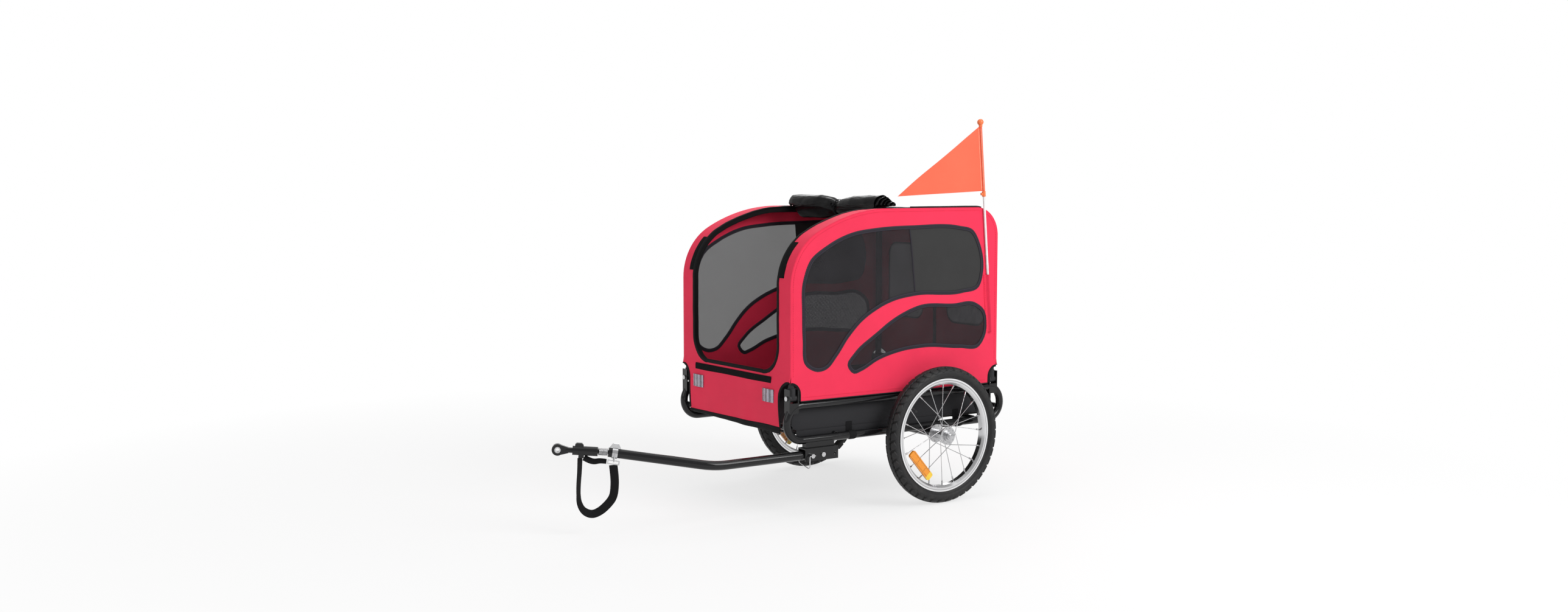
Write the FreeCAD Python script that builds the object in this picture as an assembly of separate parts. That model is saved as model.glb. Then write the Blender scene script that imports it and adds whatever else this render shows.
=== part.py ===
import FreeCAD, Part
import math
import os

# Dog bike trailer, in millimetres. Everything is worked out in a frame whose origin lies on the
# ground under the middle of the axle: +X is the trailer's left side, +Y is rearward, +Z is up.
# The finished pieces are then moved along Y so that the origin is the middle of the footprint.
# Names that end in _level are heights above the axle, so that larger wheels lift the whole trailer.

# Wheels
tyre_radius = 195.5
tyre_width = 44.0
tyre_wall = 4.0
tread_height = 6.0
shoulder_width = 34.0
shoulder_drop = 5.5
tyre_depth = 33.5
rim_width = 28.0
rim_depth = 17.0
rim_wall = 1.4
rim_lip = 9.6
rim_well_width = 12.0
rim_well_depth = 3.4
bead_clearance = 0.4
bead_thickness = 3.2
wheel_clearance = 27.2
spoke_pairs = 10
spoke_radius = 1.0
spoke_weave = 2.6
spoke_swing_deg = 62.0
nipple_radius = 2.2
nipple_length = 11.0
spoke_seat = 0.7

# Hubs, axles and their release buttons
flange_radius = 26.0
flange_thickness = 3.0
flange_spacing = 50.0
barrel_radius = 13.0
hub_bore_radius = 8.0
hub_cup_radius = 15.5
hub_cup_length = 5.0
lacing_radius = 22.0
lacing_hole_radius = 1.3
bearing_radius = 11.0
bearing_width = 7.0
bearing_press = 0.03
axle_radius = 6.0
axle_insert = 87.0
axle_collar_radius = 9.5
axle_collar_length = 1.9
axle_head_radius = 11.0
axle_head_length = 6.0
running_fit = 0.05
end_play = 0.3
button_radius = 7.0
button_height = 5.0
button_crown = 1.5
button_travel = 3.0
button_stem_radius = 3.0
button_stem_length = 30.0
button_recess = 4.5

# Amber reflector on the spokes
spoke_reflector_length = 104.0
spoke_reflector_width = 24.0
spoke_reflector_thickness = 6.8
spoke_reflector_depth = 44.0
spoke_reflector_angle_deg = 221.0
spoke_reflector_offset = 10.5

# Lower frame: two upright loops of tube joined by cross tubes
loop_inset = 9.6
loop_tube_radius = 11.0
tube_wall = 1.5
loop_front = 505.0
loop_rear = 283.7
lower_rail_level = 18.5
upper_rail_level = 114.0
loop_joint_gap = 0.6
loop_joint_y = 60.0
cross_tube_radius = 8.0
cross_tube_level = 54.5
front_cross_tube_y = -482.0
rear_cross_tube_y = 261.7
bearer_level = 24.2
bearer_front_y = -330.0
bearer_rear_y = 170.0
axle_beam_radius = 12.0
axle_beam_bore_radius = 9.5
axle_socket_depth = 94.0
weld_gap = 0.05

# Cabin cover
cover_thickness = 1.6
cover_gap = 0.3
cabin_half_width = 282.4
cabin_front = 489.0
cabin_rear = 250.0
roof_level = 644.5
side_bottom_level = 127.5
front_corner_radius = 169.5
brow_radius = 500.0
brow_end_y = -161.0
rear_corner_radius = 82.0
doorway_band_width = 60.4
doorway_sill_level = 196.5
doorway_corner_radius = 75.0
roof_front_y = -88.0
skirt_level = 47.5
skirt_inset = 2.4
skirt_offset = 1.4
corner_arch_radius = 31.0
corner_arch_level = 145.5
skirt_arch_radius = 46.0
window_seat = 0.3
window_thickness = 0.8
window_cloth_y = -70.0

# Upper frame hoops and their corner hinges
hoop_tube_radius = 9.5
hinge_level = 135.5
knuckle_radius = 10.0
knuckle_width = 24.0
knuckle_neck_radius = 11.2
knuckle_top_level = 163.5
knuckle_floor = 4.0
hinge_plate_thickness = 3.0
hinge_plate_gap = 0.2
hinge_plate_width = 25.0
hinge_plate_top_level = 160.5
hinge_plate_bottom_level = 94.5
hinge_block_clearance = 1.5
hinge_bolt_radius = 4.0
bolt_head_radius = 6.5
bolt_head_height = 3.6

# Floor
floor_board_thickness = 4.0
floor_board_gap = 9.3
floor_board_front_y = -462.0
floor_board_rear_y = 236.0
tray_rail_gap = 0.5
tray_front_y = -455.0
tray_rear_y = 215.0
tray_flange_inset = 3.4
tray_flange_gap = 0.4
tray_strap_width = 22.0
tray_strap_thickness = 1.7
tray_strap_gap = 0.3
tray_strap_tab_level = 54.5
tray_strap_front_y = -278.0
tray_strap_rear_y = 110.0

# Reflectors on the cover
reflector_width = 55.0
reflector_height = 36.0
reflector_thickness = 8.0
reflector_ridge = 3.0
front_reflector_inset = 97.4
front_reflector_level = 135.5
rear_reflector_inset = 82.4
rear_reflector_level = 134.5

# Tow bracket, tow bar and lock pin
tow_offset = 0.2
tow_level = -23.5
tow_bar_radius = 12.5
tow_bar_wall = 2.0
tow_bar_rear_y = -365.0
tow_bend_y = -722.0
tow_bend_radius = 150.0
tow_yaw_deg = 26.0
tow_pitch_deg = 9.3
tow_front_run = 280.0
bracket_half_width = 17.0
bracket_wall = 3.0
bracket_front_y = -445.0
bracket_rear_y = -335.0
bracket_top_level = -3.5
bracket_bottom_level = -38.5
bracket_neck_half_width = 9.0
bracket_neck_inset = 8.0
tow_bolt_y = -386.0
tow_hole_spacing = 39.5
tow_bolt_radius = 4.0
pin_radius = 4.0
pin_tip_reach = 14.0
pin_head_radius = 6.0
pin_head_length = 10.0
pin_head_gap = 0.3
bail_wire_radius = 1.4
bail_side_offset = 9.5
bail_drop = 36.0
bail_far_drop = 24.0
bail_bend_radius = 8.0
bail_corner_radius = 3.6
bail_tail = 9.0
bail_tip_gap = 0.4

# Coupler between the tow bar and the bicycle
coupler_pitch_deg = 4.5
spring_length = 27.0
spring_turns = 8
spring_radius = 8.8
spring_wire_radius = 1.1
spring_seat = 0.5
core_radius = 5.5
core_plug = 12.0
core_bend_radius = 40.0
sleeve_length = 65.0
sleeve_radius = 12.0
sleeve_lug_length = 22.0
sleeve_lug_height = 8.0
sleeve_lug_width = 12.0
sleeve_lug_inset = 6.0
anchor_inset = 16.0
anchor_length = 14.0
anchor_width = 24.0
anchor_drop = 5.0
shaft_radius = 7.0
shaft_visible = 17.0
shaft_insert = 40.0
eye_reach = 21.0
eye_radius = 15.0
eye_half_width = 7.0
eye_neck_half_width = 6.0
bushing_radius = 8.0
bushing_bore_radius = 5.1
bushing_half_width = 9.0
clamp_station = 263.0
clamp_width = 14.0
clamp_thickness = 2.2
clamp_gap = 0.1
clamp_lug_height = 12.0
clamp_lug_width = 10.0
clamp_lug_length = 30.0
clamp_hook_radius = 1.8
ring_length = 32.0
ring_height = 12.0
ring_bar = 3.0
ring_depth = 4.0
ring_drop = 20.0

# Safety strap: a loop of webbing under the coupler, and the short tail beside it. Points are
# distances along the tow bar's front run and heights above the axle.
strap_width = 22.0
strap_thickness = 2.0
strap_route = (
    (349.0, 9.5),
    (350.0, -23.5),
    (353.0, -55.5),
    (352.0, -87.5),
    (341.0, -116.5),
    (318.0, -133.5),
    (292.0, -129.5),
    (272.0, -105.5),
    (262.0, -77.5),
    (259.0, -47.5),
    (264.0, -12.0),
)
tail_route = (
    (339.0, 9.5),
    (326.0, 1.5),
    (312.0, -2.5),
    (297.0, 0.5),
    (281.2, -2.5),
)
cord_arc_share = 0.45

# Safety flag
pole_radius = 3.5
pole_offset = 5.0
pole_foot_y = 221.0
pole_foot_level = 282.5
pole_top_y = 173.0
pole_tip_length = 8.0
ball_radius = 9.5
ball_socket_depth = 8.0
pocket_front_half = 15.0
pocket_rear_half = 6.0
pocket_top_level = 447.5
pocket_bottom_level = 278.5
pocket_wall = 1.5
flag_thickness = 1.0
flag_top_level = 880.5
flag_height = 189.0
flag_tip_y = -132.0
flag_tip_drop = 14.0
flag_sleeve_gap = 0.3
flag_sleeve_wall = 1.0
clip_length = 16.0
clip_radius = 6.0
clip_gap = 0.3

# Rolled-up front cover, in two lobes tied at the middle. Each row of the table is a place along
# the half roll, a radius and a height, as shares of the roll's half length, girth and rise.
roll_inset = 14.4
roll_radius = 32.0
roll_y = -120.0
roll_low_level = 641.2
roll_rise = 25.0
roll_middle_gap = 2.0
roll_shares = (
    (0.00, 0.66, 0.00),
    (0.10, 0.84, 0.20),
    (0.30, 0.98, 0.42),
    (0.58, 1.00, 0.46),
    (0.74, 0.84, 0.84),
    (0.81, 0.68, 1.00),
    (1.00, 0.58, 0.96),
)
roll_tie_width = 3.4
roll_tie_gap = 0.3
roll_tie_thickness = 2.0

# Window outlines on the side panels: shares of the cabin's length from its front and of its height
# above the side panel's lower edge, with each corner's radius as a share of that height.
upper_window_shares = (
    (0.058, 0.037, 0.087),
    (0.058, 0.697, 0.193),
    (0.344, 0.896, 0.774),
    (0.923, 0.896, 0.120),
    (0.923, 0.532, 0.058),
    (0.442, 0.532, 0.484),
)
lower_window_shares = (
    (0.252, 0.213, 0.048),
    (0.498, 0.458, 0.387),
    (0.939, 0.462, 0.074),
    (0.939, 0.205, 0.039),
    (0.540, 0.229, 0.387),
    (0.256, 0.093, 0.039),
)

# Cuts run past the faces that they leave by this much.
overrun = 20.0

# Sizes that follow from the ones above, so that pieces which meet keep together.
rim_radius = tyre_radius - tyre_depth
spoke_reflector_reach = rim_radius - spoke_reflector_depth
loop_x = cabin_half_width - loop_inset
track_half = loop_x + loop_tube_radius + wheel_clearance + tyre_width / 2
hub_end_x = flange_spacing / 2 + flange_thickness / 2 + hub_cup_length
axle_beam_half = track_half - hub_end_x - axle_collar_length - 2 * end_play
doorway_half_width = cabin_half_width - doorway_band_width
skirt_half_width = cabin_half_width - skirt_inset
tray_wall_x = loop_x - loop_tube_radius - tray_rail_gap
tray_flange_reach = cabin_half_width - tray_flange_inset
floor_board_half_width = tray_wall_x - floor_board_gap
front_reflector_x = cabin_half_width - front_reflector_inset
rear_reflector_x = cabin_half_width - rear_reflector_inset
tow_x = loop_x + tow_offset
pole_x = cabin_half_width + pole_offset
roll_half_length = cabin_half_width - roll_inset

# Heights above the ground.
lower_rail_z = tyre_radius + lower_rail_level
upper_rail_z = tyre_radius + upper_rail_level
cross_tube_z = tyre_radius + cross_tube_level
bearer_z = tyre_radius + bearer_level
roof_z = tyre_radius + roof_level
side_bottom_z = tyre_radius + side_bottom_level
doorway_sill_z = tyre_radius + doorway_sill_level
skirt_z = tyre_radius + skirt_level
corner_arch_z = tyre_radius + corner_arch_level
hinge_z = tyre_radius + hinge_level
knuckle_top_z = tyre_radius + knuckle_top_level
hinge_plate_top_z = tyre_radius + hinge_plate_top_level
hinge_plate_bottom_z = tyre_radius + hinge_plate_bottom_level
tray_strap_tab_z = tyre_radius + tray_strap_tab_level
front_reflector_z = tyre_radius + front_reflector_level
rear_reflector_z = tyre_radius + rear_reflector_level
tow_z = tyre_radius + tow_level
bracket_top_z = tyre_radius + bracket_top_level
bracket_bottom_z = tyre_radius + bracket_bottom_level
pole_foot_z = tyre_radius + pole_foot_level
pocket_top_z = tyre_radius + pocket_top_level
pocket_bottom_z = tyre_radius + pocket_bottom_level
flag_top_z = tyre_radius + flag_top_level
roll_low_z = tyre_radius + roll_low_level
pole_top_z = flag_top_z + pole_tip_length
flag_bottom_z = flag_top_z - flag_height
flag_tip_z = flag_bottom_z - flag_tip_drop

# Origin: half way between the foremost point of the hitch eye and the back of the side loops.
tow_yaw = math.radians(tow_yaw_deg)
tow_pitch = math.radians(tow_pitch_deg)
coupler_pitch = math.radians(coupler_pitch_deg)
coupler_length = spring_length + sleeve_length + shaft_visible + eye_reach
eye_run = tow_front_run * math.cos(tow_pitch) + coupler_length * math.cos(coupler_pitch)
eye_y = tow_bend_y - eye_run * math.cos(tow_yaw)
nose_reach = bushing_half_width * math.sin(tow_yaw) + bushing_radius * math.cos(tow_yaw)
eye_nose = eye_half_width * math.sin(tow_yaw) + eye_radius * math.cos(tow_yaw)
front_reach = max(nose_reach, eye_nose) - eye_y
axle_shift = (front_reach - loop_rear) / 2

UP = FreeCAD.Vector(0, 0, 1)
LEFT = FreeCAD.Vector(1, 0, 0)
REAR = FreeCAD.Vector(0, 1, 0)


def vec(x, y, z):
    return FreeCAD.Vector(x, y, z)


def save(name, *shapes):
    """Move the solids from the axle's frame to the footprint's and write them as one node."""
    whole = shapes[0] if len(shapes) == 1 else Part.makeCompound(list(shapes))
    moved = whole.copy()
    moved.translate(vec(0, axle_shift, 0))
    moved.exportStep("parts/" + name + ".step")


def mirrored(shape):
    return shape.mirror(vec(0, 0, 0), LEFT)


def save_pair(name, shape):
    """The same piece on the trailer's left and, mirrored, on its right."""
    save("left_" + name, shape)
    save("right_" + name, mirrored(shape))


def block(low, high):
    size = high - low
    return Part.makeBox(size.x, size.y, size.z, low)


def rod(start, end, radius):
    axis = end - start
    return Part.makeCylinder(radius, axis.Length, start, axis)


def ring(start, end, outer, inner):
    return rod(start, end, outer).cut(rod(start, end, inner))


def fused(shapes):
    return shapes[0].multiFuse(shapes[1:]).removeSplitter()


def fillet_corner(before, corner, after, radius):
    """The two tangent points of a corner's arc, and the arc between them."""
    one = (before - corner).normalize()
    two = (after - corner).normalize()
    half = one.getAngle(two) / 2
    reach = radius / math.tan(half)
    middle = (one + two).normalize() * (radius / math.sin(half) - radius)
    start = corner + one * reach
    end = corner + two * reach
    return start, end, Part.Arc(start, corner + middle, end).toShape()


def bent_path(points, radii):
    """Straight runs through the points, with a tangent arc of the given radius at each corner."""
    edges = []
    last = points[0]
    for before, corner, after, radius in zip(points, points[1:], points[2:], radii):
        start, end, arc = fillet_corner(before, corner, after, radius)
        edges += [Part.LineSegment(last, start).toShape(), arc]
        last = end
    edges.append(Part.LineSegment(last, points[-1]).toShape())
    return Part.Wire(edges)


def rounded_face(corners):
    """A closed flat face through corner points, each rounded by its own radius."""
    count = len(corners)
    turns = []
    for index, (corner, radius) in enumerate(corners):
        before = corners[index - 1][0]
        after = corners[(index + 1) % count][0]
        turns.append(fillet_corner(before, corner, after, radius))
    edges = []
    for turn, following in zip(turns, turns[1:] + turns[:1]):
        edges += [turn[2], Part.LineSegment(turn[1], following[0]).toShape()]
    return Part.Face(Part.Wire(edges))


def polygon_face(points):
    return Part.Face(Part.makePolygon(list(points) + [points[0]]))


def swept(path, section):
    shell = Part.BRepOffsetAPI.MakePipeShell(path)
    shell.add(section)
    shell.build()
    shell.makeSolid()
    return shell.shape()


def circle_at(path, radius):
    """A circle square to a path at its start."""
    edge = path.OrderedEdges[0]
    first = edge.FirstParameter
    return Part.Wire(Part.Circle(edge.valueAt(first), edge.tangentAt(first), radius).toShape())


def bent_tube(path, radius, wall):
    outer = swept(path, circle_at(path, radius))
    return outer.cut(swept(path, circle_at(path, radius - wall)))


def bolt(start, end, radius):
    """A bolt with a round head at its start and a nut at its end, outside the two points."""
    along = (end - start).normalize()
    head = rod(start - along * bolt_head_height, start, bolt_head_radius)
    nut = rod(end, end + along * bolt_head_height, bolt_head_radius)
    return fused([rod(start, end, radius), head, nut])


# Wheel, built about its own centre and then moved to the left end of the axle


def turned(points):
    """A ring about the axle from a flat outline of (across, radius) points."""
    face = polygon_face([vec(across, 0, radius) for across, radius in points])
    return face.revolve(vec(0, 0, 0), LEFT, 360)


def tyre():
    half = tyre_width / 2
    bead_out = rim_width / 2 - rim_wall - bead_clearance
    bead_in = bead_out - bead_thickness
    bead_low = rim_radius - rim_lip + bead_clearance
    bead_high = rim_radius + bead_clearance
    widest = (rim_radius + tyre_radius) / 2
    shoulder = tyre_radius - shoulder_drop
    inner_top = tyre_radius - tread_height
    corners = [vec(side * bead_out, 0, height) for side in (1, -1) for height in (bead_low, bead_high)]
    inner = [vec(side * bead_in, 0, height) for side in (1, -1) for height in (bead_low, bead_high)]
    tread = [vec(side * shoulder_width / 2, 0, shoulder) for side in (1, -1)]
    lines = ((corners[0], corners[1]), (corners[3], corners[2]), (corners[2], inner[2]),
             (inner[2], inner[3]), (inner[1], inner[0]), (inner[0], corners[0]))
    arcs = ((corners[1], vec(half, 0, widest), tread[0]),
            (tread[0], vec(0, 0, tyre_radius), tread[1]),
            (tread[1], vec(-half, 0, widest), corners[3]))
    crown = vec(0, 0, inner_top)
    flanks = [vec(side * (half - tyre_wall), 0, widest) for side in (1, -1)]
    lining = ((inner[1], flanks[0], crown), (crown, flanks[1], inner[3]))
    edges = [Part.LineSegment(a, b).toShape() for a, b in lines]
    edges += [Part.Arc(a, b, c).toShape() for a, b, c in arcs + lining]
    outline = Part.Wire(Part.__sortEdges__(edges))
    return Part.Face(outline).revolve(vec(0, 0, 0), LEFT, 360)


def rim():
    half = rim_width / 2
    lip = half - rim_wall
    seat = rim_radius - rim_lip
    well = seat - rim_well_depth
    inner = rim_radius - rim_depth
    well_half = rim_well_width / 2
    slope = well_half + rim_well_depth / 2
    right = [(half, rim_radius), (lip, rim_radius), (lip, seat), (slope, seat), (well_half, well)]
    left = [(-across, radius) for across, radius in reversed(right)]
    back = [(-half, seat - rim_wall), (-slope, inner), (slope, inner), (half, seat - rim_wall)]
    return turned(right + left + back)


def hub():
    end = flange_spacing / 2 + flange_thickness / 2 + hub_cup_length
    out = flange_spacing / 2 + flange_thickness / 2
    inside = flange_spacing / 2 - flange_thickness / 2
    seat = end - bearing_width - end_play
    right = [(end, bearing_radius), (end, hub_cup_radius), (out, hub_cup_radius), (out, flange_radius),
             (inside, flange_radius), (inside, barrel_radius)]
    left = [(-across, radius) for across, radius in reversed(right)]
    bore = [(-seat, bearing_radius), (-seat, hub_bore_radius), (seat, hub_bore_radius),
            (seat, bearing_radius)]
    holes = []
    for index in range(2 * spoke_pairs):
        angle = math.pi * index / spoke_pairs
        place = vec(0, lacing_radius * math.cos(angle), lacing_radius * math.sin(angle))
        holes.append(rod(place - LEFT * end, place + LEFT * end, lacing_hole_radius))
    return turned(right + left + bore).cut(Part.makeCompound(holes[::2]))


def bearings():
    end = flange_spacing / 2 + flange_thickness / 2 + hub_cup_length
    outer = bearing_radius - bearing_press
    rings = []
    for side in (1, -1):
        near = LEFT * (side * (end - bearing_width))
        rings.append(ring(near, LEFT * (side * end), outer, axle_radius + running_fit))
    return Part.makeCompound(rings)


def spokes():
    """Crossed spokes, half of them from each flange, with their nipples at the rim."""
    made = []
    rim_end = rim_radius - rim_depth - spoke_seat
    hub_end = flange_radius + spoke_seat
    count = 2 * spoke_pairs
    for index in range(count):
        flange = 1 if index % 2 else -1
        lean = 1 if index % 4 < 2 else -1
        rim_angle = 2 * math.pi * index / count
        hub_angle = rim_angle + math.radians(lean * spoke_swing_deg)
        across = flange * (flange_spacing / 2 + lean * spoke_weave)
        start = vec(across, hub_end * math.cos(hub_angle), hub_end * math.sin(hub_angle))
        end = vec(flange * spoke_weave, rim_end * math.cos(rim_angle), rim_end * math.sin(rim_angle))
        along = (end - start).normalize()
        nipple = rod(end - along * nipple_length, end, nipple_radius)
        made.append(fused([rod(start, end, spoke_radius), nipple]))
    return Part.makeCompound(made)


def spoke_reflector():
    """A rounded amber bar set across the spokes on the wheel's outer side."""
    half_length = spoke_reflector_length / 2
    half_width = spoke_reflector_width / 2
    corner = half_width / 2
    outline = [(vec(0, along, out), corner) for along, out in (
        (-half_length, -half_width), (half_length, -half_width),
        (half_length, half_width), (-half_length, half_width))]
    bar = rounded_face(outline).extrude(LEFT * spoke_reflector_thickness)
    bar.translate(vec(spoke_reflector_offset, 0, spoke_reflector_reach))
    bar.rotate(vec(0, 0, 0), LEFT, spoke_reflector_angle_deg - 90)
    return bar


wheel_centre = vec(track_half, 0, tyre_radius)


def save_wheels():
    made = {"tyre": tyre(), "rim": rim(), "hub": hub(), "bearings": bearings(),
            "spokes": spokes(), "spoke_reflector": spoke_reflector()}
    for name, shape in made.items():
        shape.translate(wheel_centre)
        save_pair(name, shape)


def save_axles():
    """A stub axle that pushes into the axle beam, with a release button in its outer end."""
    line = vec(0, 0, tyre_radius)
    head_in = track_half + hub_end_x + end_play
    head_out = head_in + axle_head_length
    recess = head_out - button_recess
    stem_end = recess + button_travel - button_stem_length - end_play
    collar_in = axle_beam_half + end_play / 2
    axle = fused([
        rod(line + LEFT * (axle_beam_half - axle_insert), line + LEFT * head_out, axle_radius),
        rod(line + LEFT * head_in, line + LEFT * head_out, axle_head_radius),
        rod(line + LEFT * collar_in, line + LEFT * (collar_in + axle_collar_length), axle_collar_radius),
    ])
    far = line + LEFT * (head_out + overrun)
    axle = axle.cut(rod(line + LEFT * recess, far, button_radius + running_fit))
    axle = axle.cut(rod(line + LEFT * (stem_end - button_travel), far, button_stem_radius + running_fit))
    save_pair("axle", axle)
    face = recess + button_travel + end_play
    flat = face + button_height - button_crown
    cap = rod(line + LEFT * face, line + LEFT * (face + button_height), button_radius)
    dome_radius = (button_radius ** 2 + button_crown ** 2) / (2 * button_crown)
    dome = Part.makeSphere(dome_radius, line + LEFT * (flat + button_crown - dome_radius))
    cap = cap.common(dome)
    button = fused([cap, rod(line + LEFT * (stem_end + end_play), line + LEFT * face, button_stem_radius)])
    save_pair("release_button", button)


# Lower frame


def loop_path():
    bend = (upper_rail_z - lower_rail_z) / 2
    front = -loop_front + loop_tube_radius
    rear = loop_rear - loop_tube_radius
    joint = loop_joint_gap / 2
    middle = (upper_rail_z + lower_rail_z) / 2
    start = vec(loop_x, loop_joint_y + joint, lower_rail_z)
    end = vec(loop_x, loop_joint_y - joint, lower_rail_z)
    low_rear = vec(loop_x, rear - bend, lower_rail_z)
    high_rear = vec(loop_x, rear - bend, upper_rail_z)
    high_front = vec(loop_x, front + bend, upper_rail_z)
    low_front = vec(loop_x, front + bend, lower_rail_z)
    return Part.Wire([
        Part.LineSegment(start, low_rear).toShape(),
        Part.Arc(low_rear, vec(loop_x, rear, middle), high_rear).toShape(),
        Part.LineSegment(high_rear, high_front).toShape(),
        Part.Arc(high_front, vec(loop_x, front, middle), low_front).toShape(),
        Part.LineSegment(low_front, end).toShape(),
    ])


loop_cutter = swept(loop_path(), circle_at(loop_path(), loop_tube_radius + weld_gap))
both_loop_cutters = Part.makeCompound([loop_cutter, mirrored(loop_cutter)])


def coped_tube(y, z):
    """A cross tube whose ends are shaped to the two side loops."""
    tube = ring(vec(-loop_x, y, z), vec(loop_x, y, z), cross_tube_radius, cross_tube_radius - tube_wall)
    return largest_solid(tube.cut(both_loop_cutters))


def largest_solid(shape):
    return max(shape.Solids, key=lambda solid: solid.Volume)


def save_lower_frame():
    save_pair("side_loop", bent_tube(loop_path(), loop_tube_radius, tube_wall))
    save("cross_tubes",
         coped_tube(front_cross_tube_y, cross_tube_z),
         coped_tube(rear_cross_tube_y, cross_tube_z),
         coped_tube(bearer_front_y, bearer_z),
         coped_tube(bearer_rear_y, bearer_z))
    left_end = vec(axle_beam_half, 0, tyre_radius)
    right_end = vec(-axle_beam_half, 0, tyre_radius)
    beam = rod(right_end, left_end, axle_beam_radius)
    hollow = axle_beam_half - axle_socket_depth
    beam = beam.cut(rod(right_end, left_end, axle_radius + running_fit))
    beam = beam.cut(rod(vec(-hollow, 0, tyre_radius), vec(hollow, 0, tyre_radius), axle_beam_bore_radius))
    save("axle_beam", beam.cut(both_loop_cutters))


# Cabin outline in the (y, z) plane: a front that curves back in two tangent arcs into the flat roof


def cabin_outline(inset, bottom_z):
    """Points of the outline at a given inset from the cover's outer face, front bottom first."""
    front = -cabin_front + inset
    rear = cabin_rear - inset
    top = roof_z - inset
    brow = brow_radius - inset
    nose = front_corner_radius - inset
    back = rear_corner_radius - inset
    sine = (brow_end_y - front_corner_radius + cabin_front) / (brow_radius - front_corner_radius)
    lean = math.asin(sine)
    nose_y = -cabin_front + front_corner_radius
    nose_z = roof_z - brow_radius + (brow_radius - front_corner_radius) * math.cos(lean)
    brow_z = roof_z - brow_radius
    back_y = cabin_rear - rear_corner_radius
    back_z = roof_z - rear_corner_radius
    half_nose = (math.pi / 2 + lean) / 2
    return {
        "front_low": (front, bottom_z),
        "front_high": (front, nose_z),
        "nose_middle": (nose_y - nose * math.sin(half_nose), nose_z + nose * math.cos(half_nose)),
        "brow_start": (brow_end_y - brow * sine, brow_z + brow * math.cos(lean)),
        "brow_middle": (brow_end_y - brow * math.sin(lean / 2), brow_z + brow * math.cos(lean / 2)),
        "roof_start": (brow_end_y, top),
        "roof_end": (back_y, top),
        "back_middle": (back_y + back * math.sin(math.pi / 4), back_z + back * math.cos(math.pi / 4)),
        "rear_high": (rear, back_z),
        "rear_low": (rear, bottom_z),
    }


def outline_edges(inset, bottom_z, x):
    points = {name: vec(x, y, z) for name, (y, z) in cabin_outline(inset, bottom_z).items()}
    line = lambda a, b: Part.LineSegment(points[a], points[b]).toShape()
    arc = lambda a, b, c: Part.Arc(points[a], points[b], points[c]).toShape()
    return [
        line("front_low", "front_high"),
        arc("front_high", "nose_middle", "brow_start"),
        arc("brow_start", "brow_middle", "roof_start"),
        line("roof_start", "roof_end"),
        arc("roof_end", "back_middle", "rear_high"),
        line("rear_high", "rear_low"),
    ], points


def outline_face(inset, bottom_z, x):
    edges, points = outline_edges(inset, bottom_z, x)
    edges.append(Part.LineSegment(points["rear_low"], points["front_low"]).toShape())
    return Part.Face(Part.Wire(edges))


cabin_length = cabin_front + cabin_rear
cabin_height = roof_z - side_bottom_z
side_inner_x = cabin_half_width - cover_thickness


def window_face(shares, x):
    corners = []
    for along_share, height_share, radius_share in shares:
        y = -cabin_front + along_share * cabin_length
        z = side_bottom_z + height_share * cabin_height
        corners.append((vec(x, y, z), radius_share * cabin_height))
    return rounded_face(corners)


def corner_arches():
    """The round-topped cut-outs in the side panel around the corner hinges."""
    made = []
    for y in (-cabin_front, cabin_rear):
        reach = corner_arch_radius
        arch = rod(vec(0, y, corner_arch_z), vec(cabin_half_width + overrun, y, corner_arch_z), reach)
        low = block(vec(0, y - reach, side_bottom_z - overrun),
                    vec(cabin_half_width + overrun, y + reach, corner_arch_z))
        made += [arch, low]
    return Part.makeCompound(made)


def save_side_covers():
    inset = cover_thickness + cover_gap
    panel = outline_face(inset, side_bottom_z, side_inner_x).extrude(LEFT * cover_thickness)
    panel = panel.cut(corner_arches())
    panes = []
    pane_x = side_inner_x + (cover_thickness - window_thickness) / 2
    for shares in (upper_window_shares, lower_window_shares):
        hole = window_face(shares, side_inner_x - overrun).extrude(LEFT * (2 * overrun + cover_thickness))
        panel = panel.cut(hole)
        pane = window_face(shares, pane_x)
        pane = largest_face(pane.makeOffset2D(-window_seat))
        panes.append(pane.extrude(LEFT * window_thickness))
    split = vec(0, window_cloth_y, 0)
    front = block(vec(0, -cabin_front, 0), vec(cabin_half_width, split.y - window_seat / 2, roof_z))
    back = block(vec(0, split.y + window_seat / 2, 0), vec(cabin_half_width, cabin_rear, roof_z))
    windows = [panes[0].common(front), panes[0].common(back), panes[1]]
    save_pair("side_panel", panel)
    save_pair("windows", Part.makeCompound([solid for pane in windows for solid in pane.Solids]))


def largest_face(shape):
    return max(shape.Faces, key=lambda face: face.Area)


def doorway_cutter():
    """The front opening, which runs up the front and over the brow to the roof's front edge."""
    half = doorway_half_width
    corner = doorway_corner_radius
    top = roof_z + overrun
    front = -cabin_front - overrun
    outline = rounded_face([
        (vec(-half, front, doorway_sill_z), corner), (vec(half, front, doorway_sill_z), corner),
        (vec(half, front, top), overrun / 2), (vec(-half, front, top), overrun / 2)])
    return outline.extrude(REAR * (roof_front_y - front))


def save_cover_wraps():
    """Half of the cover's front bands, roof and back: it meets the other half at the middle seam."""
    outer = outline_face(0, doorway_sill_z + cover_gap, cover_gap)
    inner = outline_face(cover_thickness, doorway_sill_z + cover_gap - overrun, cover_gap)
    width = cabin_half_width - cover_gap
    wrap = outer.extrude(LEFT * width).cut(inner.extrude(LEFT * width))
    save_pair("cover_wrap", largest_solid(wrap.cut(doorway_cutter())))


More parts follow.
